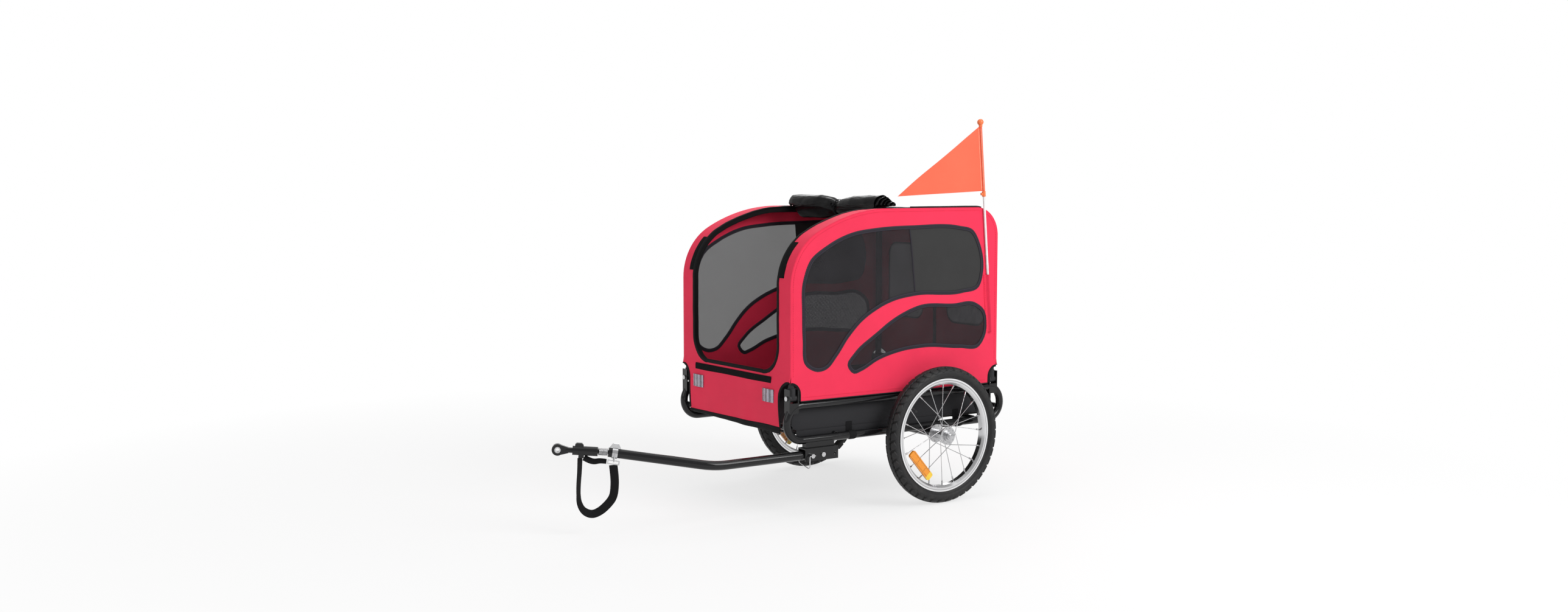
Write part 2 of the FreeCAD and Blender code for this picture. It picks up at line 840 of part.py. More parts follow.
def skirt(face_y, outward):
    """A low panel across the cabin's front or back, cut away round the corner hinges."""
    y = face_y + outward * (skirt_offset + cover_thickness)
    low = vec(-skirt_half_width, min(y, y - outward * cover_thickness), skirt_z)
    high = vec(skirt_half_width, max(y, y - outward * cover_thickness), doorway_sill_z)
    panel = block(low, high)
    for side in (1, -1):
        centre = vec(side * cabin_half_width, low.y - overrun, hinge_z)
        panel = panel.cut(rod(centre, centre + REAR * (2 * overrun + cover_thickness), skirt_arch_radius))
        edge = cabin_half_width - skirt_arch_radius
        xs = sorted((side * edge, side * (cabin_half_width + overrun)))
        panel = panel.cut(block(vec(xs[0], low.y - overrun, skirt_z - overrun),
                                vec(xs[1], high.y + overrun, hinge_z)))
    return panel


def reflectors(x, z, face_y, outward):
    """Two ridged reflectors seated on a skirt."""
    made = []
    base = face_y + outward * (skirt_offset + cover_thickness + cover_gap)
    top = base + outward * (reflector_thickness - reflector_ridge)
    ridge = base + outward * reflector_thickness
    half = reflector_width / 2
    low = z - reflector_height / 2
    for side in (1, -1):
        outline = [(-half, base), (half, base), (half, top), (0, ridge), (-half, top)]
        face = polygon_face([vec(side * x + across, y, low) for across, y in outline])
        made.append(face.extrude(UP * reflector_height))
    return made


def save_skirts():
    save("front_skirt", skirt(-cabin_front, -1))
    save("rear_skirt", skirt(cabin_rear, 1))
    save("front_reflectors", *reflectors(front_reflector_x, front_reflector_z, -cabin_front, -1))
    save("rear_reflectors", *reflectors(rear_reflector_x, rear_reflector_z, cabin_rear, 1))


# Hoops and hinges


hoop_inset = cover_thickness + cover_gap + hoop_tube_radius
hoop_x = side_inner_x - cover_gap - hoop_tube_radius
post_front_y = -cabin_front + hoop_inset
post_rear_y = cabin_rear - hoop_inset
hoop_foot_z = hinge_z + knuckle_radius + knuckle_floor


def knuckle(y):
    """A moulded foot that holds the hoop's end and turns on the hinge bolt."""
    half = knuckle_width / 2
    barrel = rod(vec(hoop_x, y - half, hinge_z), vec(hoop_x, y + half, hinge_z), knuckle_radius)
    neck = rod(vec(hoop_x, y, hinge_z), vec(hoop_x, y, knuckle_top_z), knuckle_neck_radius)
    body = fused([barrel, neck])
    body = body.cut(rod(vec(hoop_x, y - knuckle_width, hinge_z), vec(hoop_x, y + knuckle_width, hinge_z),
                        hinge_bolt_radius + running_fit))
    foot = vec(hoop_x, y, hoop_foot_z)
    return body.cut(rod(foot, foot + UP * overrun, hoop_tube_radius + running_fit))


def hinge_bracket(y):
    """Two plates on a block that is shaped to the top of the side loop."""
    half = knuckle_width / 2 + hinge_plate_gap
    outer = half + hinge_plate_thickness
    left = hoop_x + hinge_plate_width / 2
    right = hoop_x - hinge_plate_width / 2
    plates = [block(vec(right, y + a, hinge_plate_bottom_z), vec(left, y + b, hinge_plate_top_z))
              for a, b in ((-outer, -half), (half, outer))]
    top = hinge_z - knuckle_neck_radius - hinge_block_clearance
    seat = block(vec(right, y - half, hinge_plate_bottom_z), vec(left, y + half, top))
    bracket = fused(plates + [seat]).cut(loop_cutter)
    hole = rod(vec(hoop_x, y - outer - overrun, hinge_z), vec(hoop_x, y + outer + overrun, hinge_z),
               hinge_bolt_radius + running_fit)
    return largest_solid(bracket.cut(hole))


def hinge_bolt(y):
    outer = knuckle_width / 2 + hinge_plate_gap + hinge_plate_thickness + end_play / 2
    return bolt(vec(hoop_x, y - outer, hinge_z), vec(hoop_x, y + outer, hinge_z), hinge_bolt_radius)


def save_hoops():
    edges, points = outline_edges(hoop_inset, hoop_foot_z, hoop_x)
    save_pair("hoop", bent_tube(Part.Wire(edges), hoop_tube_radius, tube_wall))
    posts = (post_front_y, post_rear_y)
    save_pair("knuckles", Part.makeCompound([knuckle(y) for y in posts]))
    brackets = [hinge_bracket(y) for y in posts]
    bolts = [hinge_bolt(y) for y in posts]
    save("hinge_brackets", *(brackets + [mirrored(shape) for shape in brackets]))
    save("hinge_bolts", *(bolts + [mirrored(shape) for shape in bolts]))


# Floor board and the fabric tray that hangs between the side loops


def save_floor():
    board_z = bearer_z + cross_tube_radius + cover_gap
    board_top = board_z + floor_board_thickness
    board = block(vec(-floor_board_half_width, floor_board_front_y, board_z),
                  vec(floor_board_half_width, floor_board_rear_y, board_top))
    save("floor_board", board)
    sheet_z = board_top + cover_gap
    sheet_top = sheet_z + cover_thickness
    wall_in = tray_wall_x - cover_thickness
    flange_z = upper_rail_z + loop_tube_radius + tray_flange_gap
    sheet = block(vec(-tray_wall_x, tray_front_y, sheet_z), vec(tray_wall_x, tray_rear_y, sheet_top))
    parts = [sheet]
    wall = block(vec(wall_in, tray_front_y, sheet_z), vec(tray_wall_x, tray_rear_y, flange_z))
    flange = block(vec(wall_in, tray_front_y, flange_z),
                   vec(tray_flange_reach, tray_rear_y, flange_z + cover_thickness))
    parts += [wall, flange, mirrored(wall), mirrored(flange)]
    save("floor_tray", fused(parts))


def tray_strap(y):
    """A strap wrapped round the lower rail, with its end running up the tray's wall."""
    half = tray_strap_width / 2
    inner = loop_tube_radius + tray_strap_gap
    outer = inner + tray_strap_thickness
    start = vec(loop_x, y - half, lower_rail_z)
    end = vec(loop_x, y + half, lower_rail_z)
    tab_in = tray_wall_x + tray_strap_gap
    tab = block(vec(tab_in, y - half, lower_rail_z),
                vec(tab_in + tray_strap_thickness, y + half, tray_strap_tab_z))
    return fused([rod(start, end, outer), tab]).cut(rod(start, end, inner))


def save_tray_straps():
    straps = [tray_strap(y) for y in (tray_strap_front_y, tray_strap_rear_y)]
    save("tray_straps", *(straps + [mirrored(strap) for strap in straps]))


# Tow bracket, tow bar, lock pin


pin_y = tow_bolt_y - tow_hole_spacing
spare_hole_y = tow_bolt_y + tow_hole_spacing
bracket_left = tow_x + bracket_half_width
bracket_right = tow_x - bracket_half_width
tow_along = vec(-math.sin(tow_yaw), -math.cos(tow_yaw), 0)
tow_across = vec(math.cos(tow_yaw), -math.sin(tow_yaw), 0)
tow_corner = vec(tow_x, tow_bend_y, tow_z)
bar_along = tow_along * math.cos(tow_pitch) + UP * math.sin(tow_pitch)
bar_up = UP * math.cos(tow_pitch) - tow_along * math.sin(tow_pitch)
bar_end = tow_corner + bar_along * tow_front_run
coupler_along = tow_along * math.cos(coupler_pitch) + UP * math.sin(coupler_pitch)
coupler_up = UP * math.cos(coupler_pitch) - tow_along * math.sin(coupler_pitch)


def cross_hole(y, radius):
    return rod(vec(bracket_right - overrun, y, tow_z), vec(bracket_left + overrun, y, tow_z), radius)


def save_tow_bracket():
    """A channel, open below, on a neck that is shaped to the underside of the lower rail."""
    shell = block(vec(bracket_right, bracket_front_y, bracket_bottom_z),
                  vec(bracket_left, bracket_rear_y, bracket_top_z))
    inside = block(vec(bracket_right + bracket_wall, bracket_front_y - overrun, bracket_bottom_z - overrun),
                   vec(bracket_left - bracket_wall, bracket_rear_y + overrun, bracket_top_z - bracket_wall))
    neck = block(vec(loop_x - bracket_neck_half_width, bracket_front_y + bracket_neck_inset, bracket_top_z),
                 vec(loop_x + bracket_neck_half_width, bracket_rear_y - bracket_neck_inset, lower_rail_z))
    bracket = fused([shell, neck]).cut(inside).cut(loop_cutter)
    for y in (pin_y, spare_hole_y):
        bracket = bracket.cut(cross_hole(y, pin_radius + running_fit))
    bracket = bracket.cut(cross_hole(tow_bolt_y, tow_bolt_radius + running_fit))
    save("tow_bracket", largest_solid(bracket))
    save("tow_bolt", bolt(vec(bracket_left + end_play / 2, tow_bolt_y, tow_z),
                          vec(bracket_right - end_play / 2, tow_bolt_y, tow_z), tow_bolt_radius))


def save_tow_bar():
    path = bent_path([vec(tow_x, tow_bar_rear_y, tow_z), tow_corner, bar_end], [tow_bend_radius])
    bar = bent_tube(path, tow_bar_radius, tow_bar_wall)
    bar = bar.cut(cross_hole(pin_y, pin_radius + running_fit))
    bar = bar.cut(cross_hole(tow_bolt_y, tow_bolt_radius + running_fit))
    plug_start = bar_end - bar_along * core_plug
    plug = rod(plug_start, bar_end, tow_bar_radius - tow_bar_wall)
    plug = plug.cut(rod(plug_start, bar_end, core_radius + running_fit))
    save("tow_bar", fused([bar, plug]))


pin_head_x = bracket_left + pin_head_gap
bail_pivot_x = pin_head_x + pin_head_length - 2 * bail_wire_radius


def save_lock_pin():
    tip = vec(bracket_right - pin_tip_reach, pin_y, tow_z)
    head_in = vec(pin_head_x, pin_y, tow_z)
    head_out = vec(pin_head_x + pin_head_length, pin_y, tow_z)
    pin = fused([rod(tip, head_in, pin_radius), rod(head_in, head_out, pin_head_radius)])
    pivot = vec(bail_pivot_x, pin_y, tow_z)
    hole = rod(pivot - REAR * overrun, pivot + REAR * overrun, bail_wire_radius + running_fit)
    save("lock_pin", pin.cut(hole))
    tip_x = bracket_right - pin_tip_reach + pin_radius
    side = REAR * -bail_side_offset
    under_tip = tow_z - pin_radius - bail_wire_radius - bail_tip_gap
    near = pivot + side
    far = vec(tip_x, pin_y, tow_z) + side
    path = bent_path(
        [pivot + REAR * bail_tail, near, near - UP * bail_drop, far - UP * bail_far_drop,
         vec(far.x, far.y, under_tip), vec(tip_x, pin_y + bail_tail, under_tip)],
        [bail_corner_radius, bail_bend_radius, bail_bend_radius, bail_corner_radius])
    save("pin_bail", swept(path, circle_at(path, bail_wire_radius)))


# Coupler: spring, sleeve, swivelling shaft and eye


sleeve_rear = bar_end + coupler_along * spring_length
sleeve_front = sleeve_rear + coupler_along * sleeve_length
eye_centre = sleeve_front + coupler_along * (shaft_visible + eye_reach)


def in_coupler(along, up, across=0.0):
    """A point given by its distance ahead of the sleeve's rear end, above and beside its axis."""
    return sleeve_rear + coupler_along * along + coupler_up * up + tow_across * across


def coupler_prism(outline, half_width):
    """A solid with a flat outline of (along, up) points, across the coupler's axis."""
    face = polygon_face([in_coupler(along, up, -half_width) for along, up in outline])
    return face.extrude(tow_across * (2 * half_width))


def helix_point(turn):
    """Place and direction on the spring's centre line after a number of turns."""
    angle = 2 * math.pi * turn
    run = spring_length - 2 * (spring_seat + spring_wire_radius)
    pitch = run / spring_turns
    radial = coupler_up * math.cos(angle) + tow_across * math.sin(angle)
    sideways = tow_across * math.cos(angle) - coupler_up * math.sin(angle)
    start = bar_end + coupler_along * (spring_seat + spring_wire_radius)
    place = start + coupler_along * (pitch * turn) + radial * spring_radius
    direction = sideways * (2 * math.pi * spring_radius) + coupler_along * pitch
    return place, direction.normalize()


def arc_from(start, direction, end):
    """The arc that leaves a point in a given direction and reaches another point."""
    chord = end - start
    angle = direction.getAngle(chord)
    along = chord * (1 / chord.Length)
    bulge = (direction - along * direction.dot(along)).normalize()
    middle = (start + end) * 0.5 + bulge * (chord.Length / 2 * math.tan(angle / 2))
    return Part.Arc(start, middle, end).toShape()


def biarc(first, second):
    """Two tangent arcs between two points, each with its direction."""
    (start, out), (end, into) = first, second
    span = end - start
    sum_of = out + into
    a = 2 * (1 - out.dot(into))
    b = 2 * span.dot(sum_of)
    c = -span.dot(span)
    reach = (-b + math.sqrt(b * b - 4 * a * c)) / (2 * a)
    joint = (start + out * reach + end - into * reach) * 0.5
    back = arc_from(end, into * -1, joint)
    return [arc_from(start, out, joint), back]


def least_gap():
    """The smallest distance between turns of the spring, measured on points along it."""
    steps = 48
    points = [helix_point(index / steps)[0] for index in range(spring_turns * steps + 1)]
    nearest = min((points[one] - points[two]).Length
                  for one in range(len(points))
                  for two in range(one + steps // 2, len(points)))
    return nearest - 2 * spring_wire_radius


def save_coupler():
    quarters = spring_turns * 4
    edges = []
    for index in range(quarters):
        edges += biarc(helix_point(index / 4), helix_point((index + 1) / 4))
    path = Part.Wire(Part.__sortEdges__(edges))
    save("coupler_spring", swept(path, circle_at(path, spring_wire_radius)))
    print("spring: least gap between turns", round(least_gap(), 2))
    core_path = bent_path([bar_end - bar_along * core_plug, bar_end, in_coupler(core_plug, 0)],
                          [core_bend_radius])
    save("coupler_core", swept(core_path, circle_at(core_path, core_radius)))

    bore = shaft_radius + running_fit
    sleeve = rod(sleeve_rear, sleeve_front, sleeve_radius)
    lug_front = sleeve_length - sleeve_lug_inset
    lug_rear = lug_front - sleeve_lug_length
    lug_top = sleeve_radius + sleeve_lug_height
    slope = sleeve_lug_height / 2
    lug = coupler_prism([(lug_rear, 0), (lug_front, 0), (lug_front, lug_top - slope),
                         (lug_front - slope, lug_top), (lug_rear + slope, lug_top),
                         (lug_rear, lug_top - slope)], sleeve_lug_width / 2)
    anchor_front = sleeve_length - anchor_inset
    anchor_low = -sleeve_radius - anchor_drop
    anchor = coupler_prism([(anchor_front - anchor_length, 0), (anchor_front, 0),
                            (anchor_front, anchor_low), (anchor_front - anchor_length, anchor_low)],
                           anchor_width / 2)
    sleeve = fused([sleeve, lug, anchor])
    sleeve = sleeve.cut(rod(in_coupler(sleeve_length - shaft_insert - end_play, 0),
                            in_coupler(sleeve_length + overrun, 0), bore))
    sleeve = sleeve.cut(rod(in_coupler(-overrun, 0), in_coupler(core_plug + end_play, 0),
                            core_radius + running_fit))
    save("coupler_sleeve", sleeve)
    save_hitch_eye()


def save_hitch_eye():
    """A shaft that swivels in the sleeve, ending in an eye with a steel bushing."""
    shaft = rod(in_coupler(sleeve_length - shaft_insert, 0),
                in_coupler(sleeve_length + shaft_visible, 0), shaft_radius)
    reach = sleeve_length + shaft_visible + eye_reach
    eye_disc = rod(eye_centre - tow_across * eye_half_width, eye_centre + tow_across * eye_half_width,
                   eye_radius)
    root = sleeve_length + shaft_visible - shaft_radius
    neck = coupler_prism([(root, -shaft_radius), (reach, -eye_radius), (reach, eye_radius),
                          (root, shaft_radius)], eye_neck_half_width)
    eye = fused([shaft, eye_disc, neck])
    seat = rod(eye_centre - tow_across * overrun, eye_centre + tow_across * overrun,
               bushing_radius + running_fit)
    save("hitch_eye", eye.cut(seat))
    save("eye_bushing", ring(eye_centre - tow_across * bushing_half_width,
                             eye_centre + tow_across * bushing_half_width,
                             bushing_radius, bushing_bore_radius))


def on_bar(along, up, across=0.0):
    return tow_corner + bar_along * along + bar_up * up + tow_across * across


def bar_prism(outline, half_width):
    face = polygon_face([on_bar(along, up, -half_width) for along, up in outline])
    return face.extrude(tow_across * (2 * half_width))


def save_strap_clamp():
    """A band round the tow bar with a bolted lug above and a flat ring for the strap below."""
    inner = tow_bar_radius + clamp_gap
    outer = inner + clamp_thickness
    rear = clamp_station - clamp_width / 2
    front = clamp_station + clamp_width / 2
    band = rod(on_bar(rear, 0), on_bar(front, 0), outer)
    lug_half = clamp_lug_length / 2
    lug = bar_prism([(clamp_station - lug_half, inner), (clamp_station + lug_half, inner),
                     (clamp_station + lug_half / 2, inner + clamp_lug_height),
                     (clamp_station - lug_half / 2, inner + clamp_lug_height)], clamp_lug_width / 2)
    hook = rod(on_bar(clamp_station, 0, -outer), on_bar(clamp_station, -ring_drop, -outer), clamp_hook_radius)
    twin = rod(on_bar(clamp_station, 0, outer), on_bar(clamp_station, -ring_drop, outer), clamp_hook_radius)
    cross = rod(on_bar(clamp_station, -ring_drop, -outer), on_bar(clamp_station, -ring_drop, outer),
                clamp_hook_radius)
    half = ring_length / 2
    top = -ring_drop + ring_bar / 2
    low = top - ring_height
    plate = bar_prism([(clamp_station - half, low), (clamp_station + half, low),
                       (clamp_station + half, top), (clamp_station - half, top)], ring_depth / 2)
    rear_end = clamp_station - half + ring_bar
    front_end = clamp_station + half - ring_bar
    slot = bar_prism([(rear_end, low + ring_bar), (front_end, low + ring_bar),
                      (front_end, top - ring_bar), (rear_end, top - ring_bar)], ring_depth)
    clamp = fused([band, lug, hook, twin, cross, plate]).cut(slot)
    save("strap_clamp", clamp.cut(rod(on_bar(rear - overrun, 0), on_bar(front + overrun, 0), inner)))


def webbing(name, route):
    """A flat strap along a route of straight runs and arcs, face to face with what holds it."""
    points = [tow_corner + tow_along * along + UP * (level - tow_level) for along, level in route]
    radii = []
    for before, corner, after in zip(points, points[1:], points[2:]):
        run = min((before - corner).Length, (after - corner).Length)
        turn = (corner - before).getAngle(after - corner)
        radii.append(cord_arc_share * run / math.tan(turn / 2))
    path = bent_path(points, radii)
    print(name, "bend radii", [round(radius) for radius in radii], "length", round(path.Length, 1))
    start = path.OrderedEdges[0]
    heading = start.tangentAt(start.FirstParameter)
    side = tow_across * (strap_width / 2)
    thick = tow_across.cross(heading).normalize() * (strap_thickness / 2)
    origin = points[0]
    section = Part.makePolygon([origin + side + thick, origin - side + thick, origin - side - thick,
                                origin + side - thick, origin + side + thick])
    strap = swept(path, section)
    print(name, "volume over section times length",
          round(strap.Volume / (strap_width * strap_thickness * path.Length), 4))
    return strap


def save_straps():
    save("safety_strap", webbing("safety_strap", strap_route))
    save("strap_tail", webbing("strap_tail", tail_route))


# Flag


pole_foot = vec(pole_x, pole_foot_y, pole_foot_z)
pole_top = vec(pole_x, pole_top_y, pole_top_z)
pole_along = (pole_top - pole_foot).normalize()


def on_pole(z):
    return pole_foot + pole_along * ((z - pole_foot_z) / pole_along.z)


def save_flag():
    save("flag_pole", rod(pole_foot, pole_top, pole_radius))
    centre = pole_top + pole_along * (ball_radius - ball_socket_depth)
    ball = Part.makeSphere(ball_radius, centre)
    save("pole_ball", ball.cut(rod(on_pole(flag_top_z), pole_top, pole_radius + running_fit)))
    inner = pole_radius + flag_sleeve_gap
    high = on_pole(flag_top_z)
    low = on_pole(flag_bottom_z)
    tip = vec(pole_x, flag_tip_y, flag_tip_z)
    half = LEFT * (flag_thickness / 2)
    cloth = polygon_face([high - half, low - half, tip - half]).extrude(half * 2)
    hem = rod(low, high, inner + flag_sleeve_wall)
    flag = fused([cloth, hem]).cut(rod(low - pole_along * overrun, high + pole_along * overrun, inner))
    save("flag", largest_solid(flag))
    clip_top = low - pole_along * clip_gap
    clip_low = clip_top - pole_along * clip_length
    save("flag_clip", ring(clip_low, clip_top, clip_radius, pole_radius + running_fit))


def save_pocket():
    """A sewn sleeve on the left side panel that takes the foot of the flag pole."""
    bottom = on_pole(pocket_bottom_z)
    top = on_pole(pocket_top_z)
    inner_x = cabin_half_width + cover_gap
    outer_x = pole_x + pole_radius + cover_gap + pocket_wall
    fore = vec(inner_x - pole_x, -pocket_front_half, 0)
    aft = vec(inner_x - pole_x, pocket_rear_half, 0)
    body = polygon_face([bottom + fore, bottom + aft, top + aft, top + fore])
    body = body.extrude(LEFT * (outer_x - inner_x))
    save("flag_pocket", body.cut(rod(pole_foot - pole_along * cover_gap, top + pole_along * overrun,
                                     pole_radius + cover_gap)))


# Rolled cover


def save_roll():
    sections = []
    for along_share, radius_share, rise_share in roll_shares:
        x = roll_middle_gap + along_share * (roll_half_length - roll_middle_gap)
        centre = vec(x, roll_y, roll_low_z + rise_share * roll_rise)
        sections.append(Part.Wire(Part.Circle(centre, LEFT, radius_share * roll_radius).toShape()))
    save_pair("roll", Part.makeLoft(sections, True, False))
    middle = vec(0, roll_y, roll_low_z)
    half = LEFT * (roll_tie_width / 2 - roll_tie_gap)
    outer = roll_shares[0][1] * roll_radius + roll_tie_thickness
    save("roll_tie", rod(middle - half, middle + half, outer))


def main():
    os.makedirs("parts", exist_ok=True)
    save_wheels()
    save_axles()
    save_lower_frame()
    save_side_covers()
    save_cover_wraps()
    save_skirts()
    save_hoops()
    save_floor()
    save_tray_straps()
    save_tow_bracket()
    save_tow_bar()
    save_lock_pin()
    save_coupler()
    save_strap_clamp()
    save_straps()
    save_flag()
    save_pocket()
    save_roll()


main()
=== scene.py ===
import math

import bmesh
import bpy
import numpy as np
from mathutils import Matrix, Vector, geometry, noise


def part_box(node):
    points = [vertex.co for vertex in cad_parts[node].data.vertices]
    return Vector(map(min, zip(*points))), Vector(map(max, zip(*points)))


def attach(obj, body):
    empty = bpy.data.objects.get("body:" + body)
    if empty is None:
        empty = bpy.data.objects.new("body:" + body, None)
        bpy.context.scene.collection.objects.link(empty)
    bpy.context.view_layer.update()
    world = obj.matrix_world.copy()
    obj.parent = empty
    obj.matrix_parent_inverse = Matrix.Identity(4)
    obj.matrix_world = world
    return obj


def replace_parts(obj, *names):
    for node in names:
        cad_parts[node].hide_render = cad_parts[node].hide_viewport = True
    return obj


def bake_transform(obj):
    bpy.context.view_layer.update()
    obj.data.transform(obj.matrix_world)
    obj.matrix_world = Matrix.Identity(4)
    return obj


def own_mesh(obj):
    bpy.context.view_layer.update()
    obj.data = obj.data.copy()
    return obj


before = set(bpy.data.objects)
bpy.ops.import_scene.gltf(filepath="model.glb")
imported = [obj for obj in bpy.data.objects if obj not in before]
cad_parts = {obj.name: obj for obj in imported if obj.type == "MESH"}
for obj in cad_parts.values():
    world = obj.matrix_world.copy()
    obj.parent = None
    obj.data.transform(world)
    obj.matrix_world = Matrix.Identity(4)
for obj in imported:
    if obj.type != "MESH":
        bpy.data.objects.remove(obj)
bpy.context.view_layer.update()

bl_info = {
    "name": "Dog bike trailer",
    "version": (1, 0, 0),
    "blender": (4, 5, 0),
    "location": "View3D > Sidebar > Trailer",
    "description": "Dresses the trailer's frame in fabric, webbing, rubber and metal",
    "category": "Object",
}

# Lengths in this file are millimetres from the ground under the middle of the axle, with +X to the
# trailer's left and +Y to its rear. place() turns them into the frame's metres.
MM = 0.001
AXLE = (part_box("axle_beam")[0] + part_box("axle_beam")[1]) / 2
SIDES = (("left", 1), ("right", -1))
LEFT, REARWARD, UP = (Vector(axis) for axis in ((1, 0, 0), (0, 1, 0), (0, 0, 1)))
HINGE_UP = 331.0


def place(point):
    return Vector((point[0] * MM, point[1] * MM + AXLE.y, point[2] * MM))


def unit(value):
    """The value, held between 0 and 1."""
    return min(1.0, max(0.0, value))


# Settings


def label(key):
    return key.replace("_", " ").capitalize()


def lengths(*rows):
    """A length for each row of key, default and description."""
    return {key: bpy.props.FloatProperty(name=label(key), description=words, default=value)
            for key, value, words in rows}


def tints(*rows):
    """A colour for each row of key, default and description."""
    return {key: bpy.props.FloatVectorProperty(
        name=label(key), description=words, subtype="COLOR", default=value) for key, value, words in rows}


class CabinSettings(bpy.types.PropertyGroup):
    """Sizes of the cabin's cover, in millimetres."""

    __annotations__ = lengths(
        ("front", 489.0, "Front face ahead of the axle"),
        ("rear", 250.0, "Rear face behind the axle"),
        ("roof", 840.0, "Height of the roof"),
        ("half_width", 282.4, "Middle to side panel"),
        ("nose_radius", 169.5, "Arc above the front"),
        ("brow_radius", 500.0, "Arc into the roof"),
        ("brow_end", -161.0, "Where the flat roof starts"),
        ("rear_radius", 82.0, "Upper rear corner"),
        ("sill", 392.0, "Height of the doorway's sill"),
        ("skirt", 243.0, "Lower edge of the end panels"),
        ("side_edge", 323.0, "Lower edge of the sides"),
        ("door_half", 222.0, "Doorway's half width"),
        ("door_corner", 75.0, "Doorway's lower corner radius"),
        ("door_top", -88.0, "Roof's front edge"),
        ("thickness", 1.6, "Thickness of the cloth"),
        ("binding", 11.0, "Width of the window bindings"),
        ("zip_tape", 12.0, "Width of the doorway's tape"),
        ("flap", 15.0, "Depth of the doorway's inner flap"))


class ColourSettings(bpy.types.PropertyGroup):
    """Colours of the trailer's finishes."""

    __annotations__ = tints(
        ("red", (0.90, 0.036, 0.095), "Woven cover"),
        ("black", (0.012, 0.012, 0.013), "Tray, roof and tapes"),
        ("mesh", (0.030, 0.029, 0.032), "Window mesh"),
        ("cloth", (0.042, 0.042, 0.042), "Closed part of a window"),
        ("binding", (0.030, 0.027, 0.035), "Tape round the windows"),
        ("coat", (0.008, 0.008, 0.0088), "Powder coat on tubes and brackets"),
        ("flag", (0.86, 0.16, 0.09), "Safety flag"),
        ("amber", (0.96, 0.33, 0.018), "Reflectors on the spokes"))


class WheelSettings(bpy.types.PropertyGroup):
    """Sizes of the tyres, in millimetres."""

    __annotations__ = {
        **lengths(("radius", 195.5, "Tyre's outer radius"), ("width", 44.0, "Tyre's width"),
                  ("track", 333.0, "Middle of the trailer to the tyre's middle")),
        "blocks": bpy.props.IntProperty(name="Blocks", description="Blocks round each shoulder", default=44)}


def cabin():
    return bpy.context.scene.trailer_cabin


# Finishes


class Socket:
    """A node's output that adds Math nodes when it is used in an expression."""

    def __init__(self, finish, output):
        self.finish = finish
        self.output = output

    def math(self, operation, *operands, clamp=False):
        settings = {"operation": operation, "use_clamp": clamp}
        return self.finish.node("ShaderNodeMath", settings, dict(enumerate(operands)))

    def __add__(self, other):
        return self.math("ADD", self, other)

    def __radd__(self, other):
        return self.math("ADD", other, self)

    def __sub__(self, other):
        return self.math("SUBTRACT", self, other)

    def __rsub__(self, other):
        return self.math("SUBTRACT", other, self)

    def __mul__(self, other):
        return self.math("MULTIPLY", self, other)

    def __rmul__(self, other):
        return self.math("MULTIPLY", other, self)

    def __truediv__(self, other):
        return self.math("DIVIDE", self, other)

    def __rtruediv__(self, other):
        return self.math("DIVIDE", other, self)

    def root(self):
        return self.math("SQRT", self)

    def wave(self, pitch):
        """A sine wave along this value with one crest every pitch metres."""
        turned = self * (2 * math.pi / pitch)
        return turned.math("SINE", turned)

    def size(self):
        return self.math("ABSOLUTE", self)

    def above(self, low, high):
        """0 below low, 1 above high and a ramp between them."""
        return self.math("MULTIPLY", self - low, 1 / (high - low), clamp=True)


class Nodes:
    """A node tree, and the one way that nodes are added to it."""

    def __init__(self, tree):
        self.tree = tree

    def node(self, kind, settings=None, inputs=None, output=0):
        made = self.tree.nodes.new(kind)
        for key, value in (settings or {}).items():
            setattr(made, key, value)
        for key, value in (inputs or {}).items():
            self.link(made.inputs[key], value)
        return Socket(self, made.outputs[output])

    def link(self, target, value):
        if isinstance(value, Socket):
            self.tree.links.new(value.output, target)
        elif hasattr(value, "__len__") and len(value) == 3 and target.type == "RGBA":
            target.default_value = (*value, 1.0)
        else:
            target.default_value = value

    def seen(self, mirrored):
        """1 where the camera or a clear surface looks, and a share of it where a reflection does."""
        camera, glossy, clear = (self.node("ShaderNodeLightPath", output=ray) for ray in (
            "Is Camera Ray", "Is Glossy Ray", "Is Transmission Ray"))
        return camera.math("ADD", camera + glossy * mirrored, clear, clamp=True)


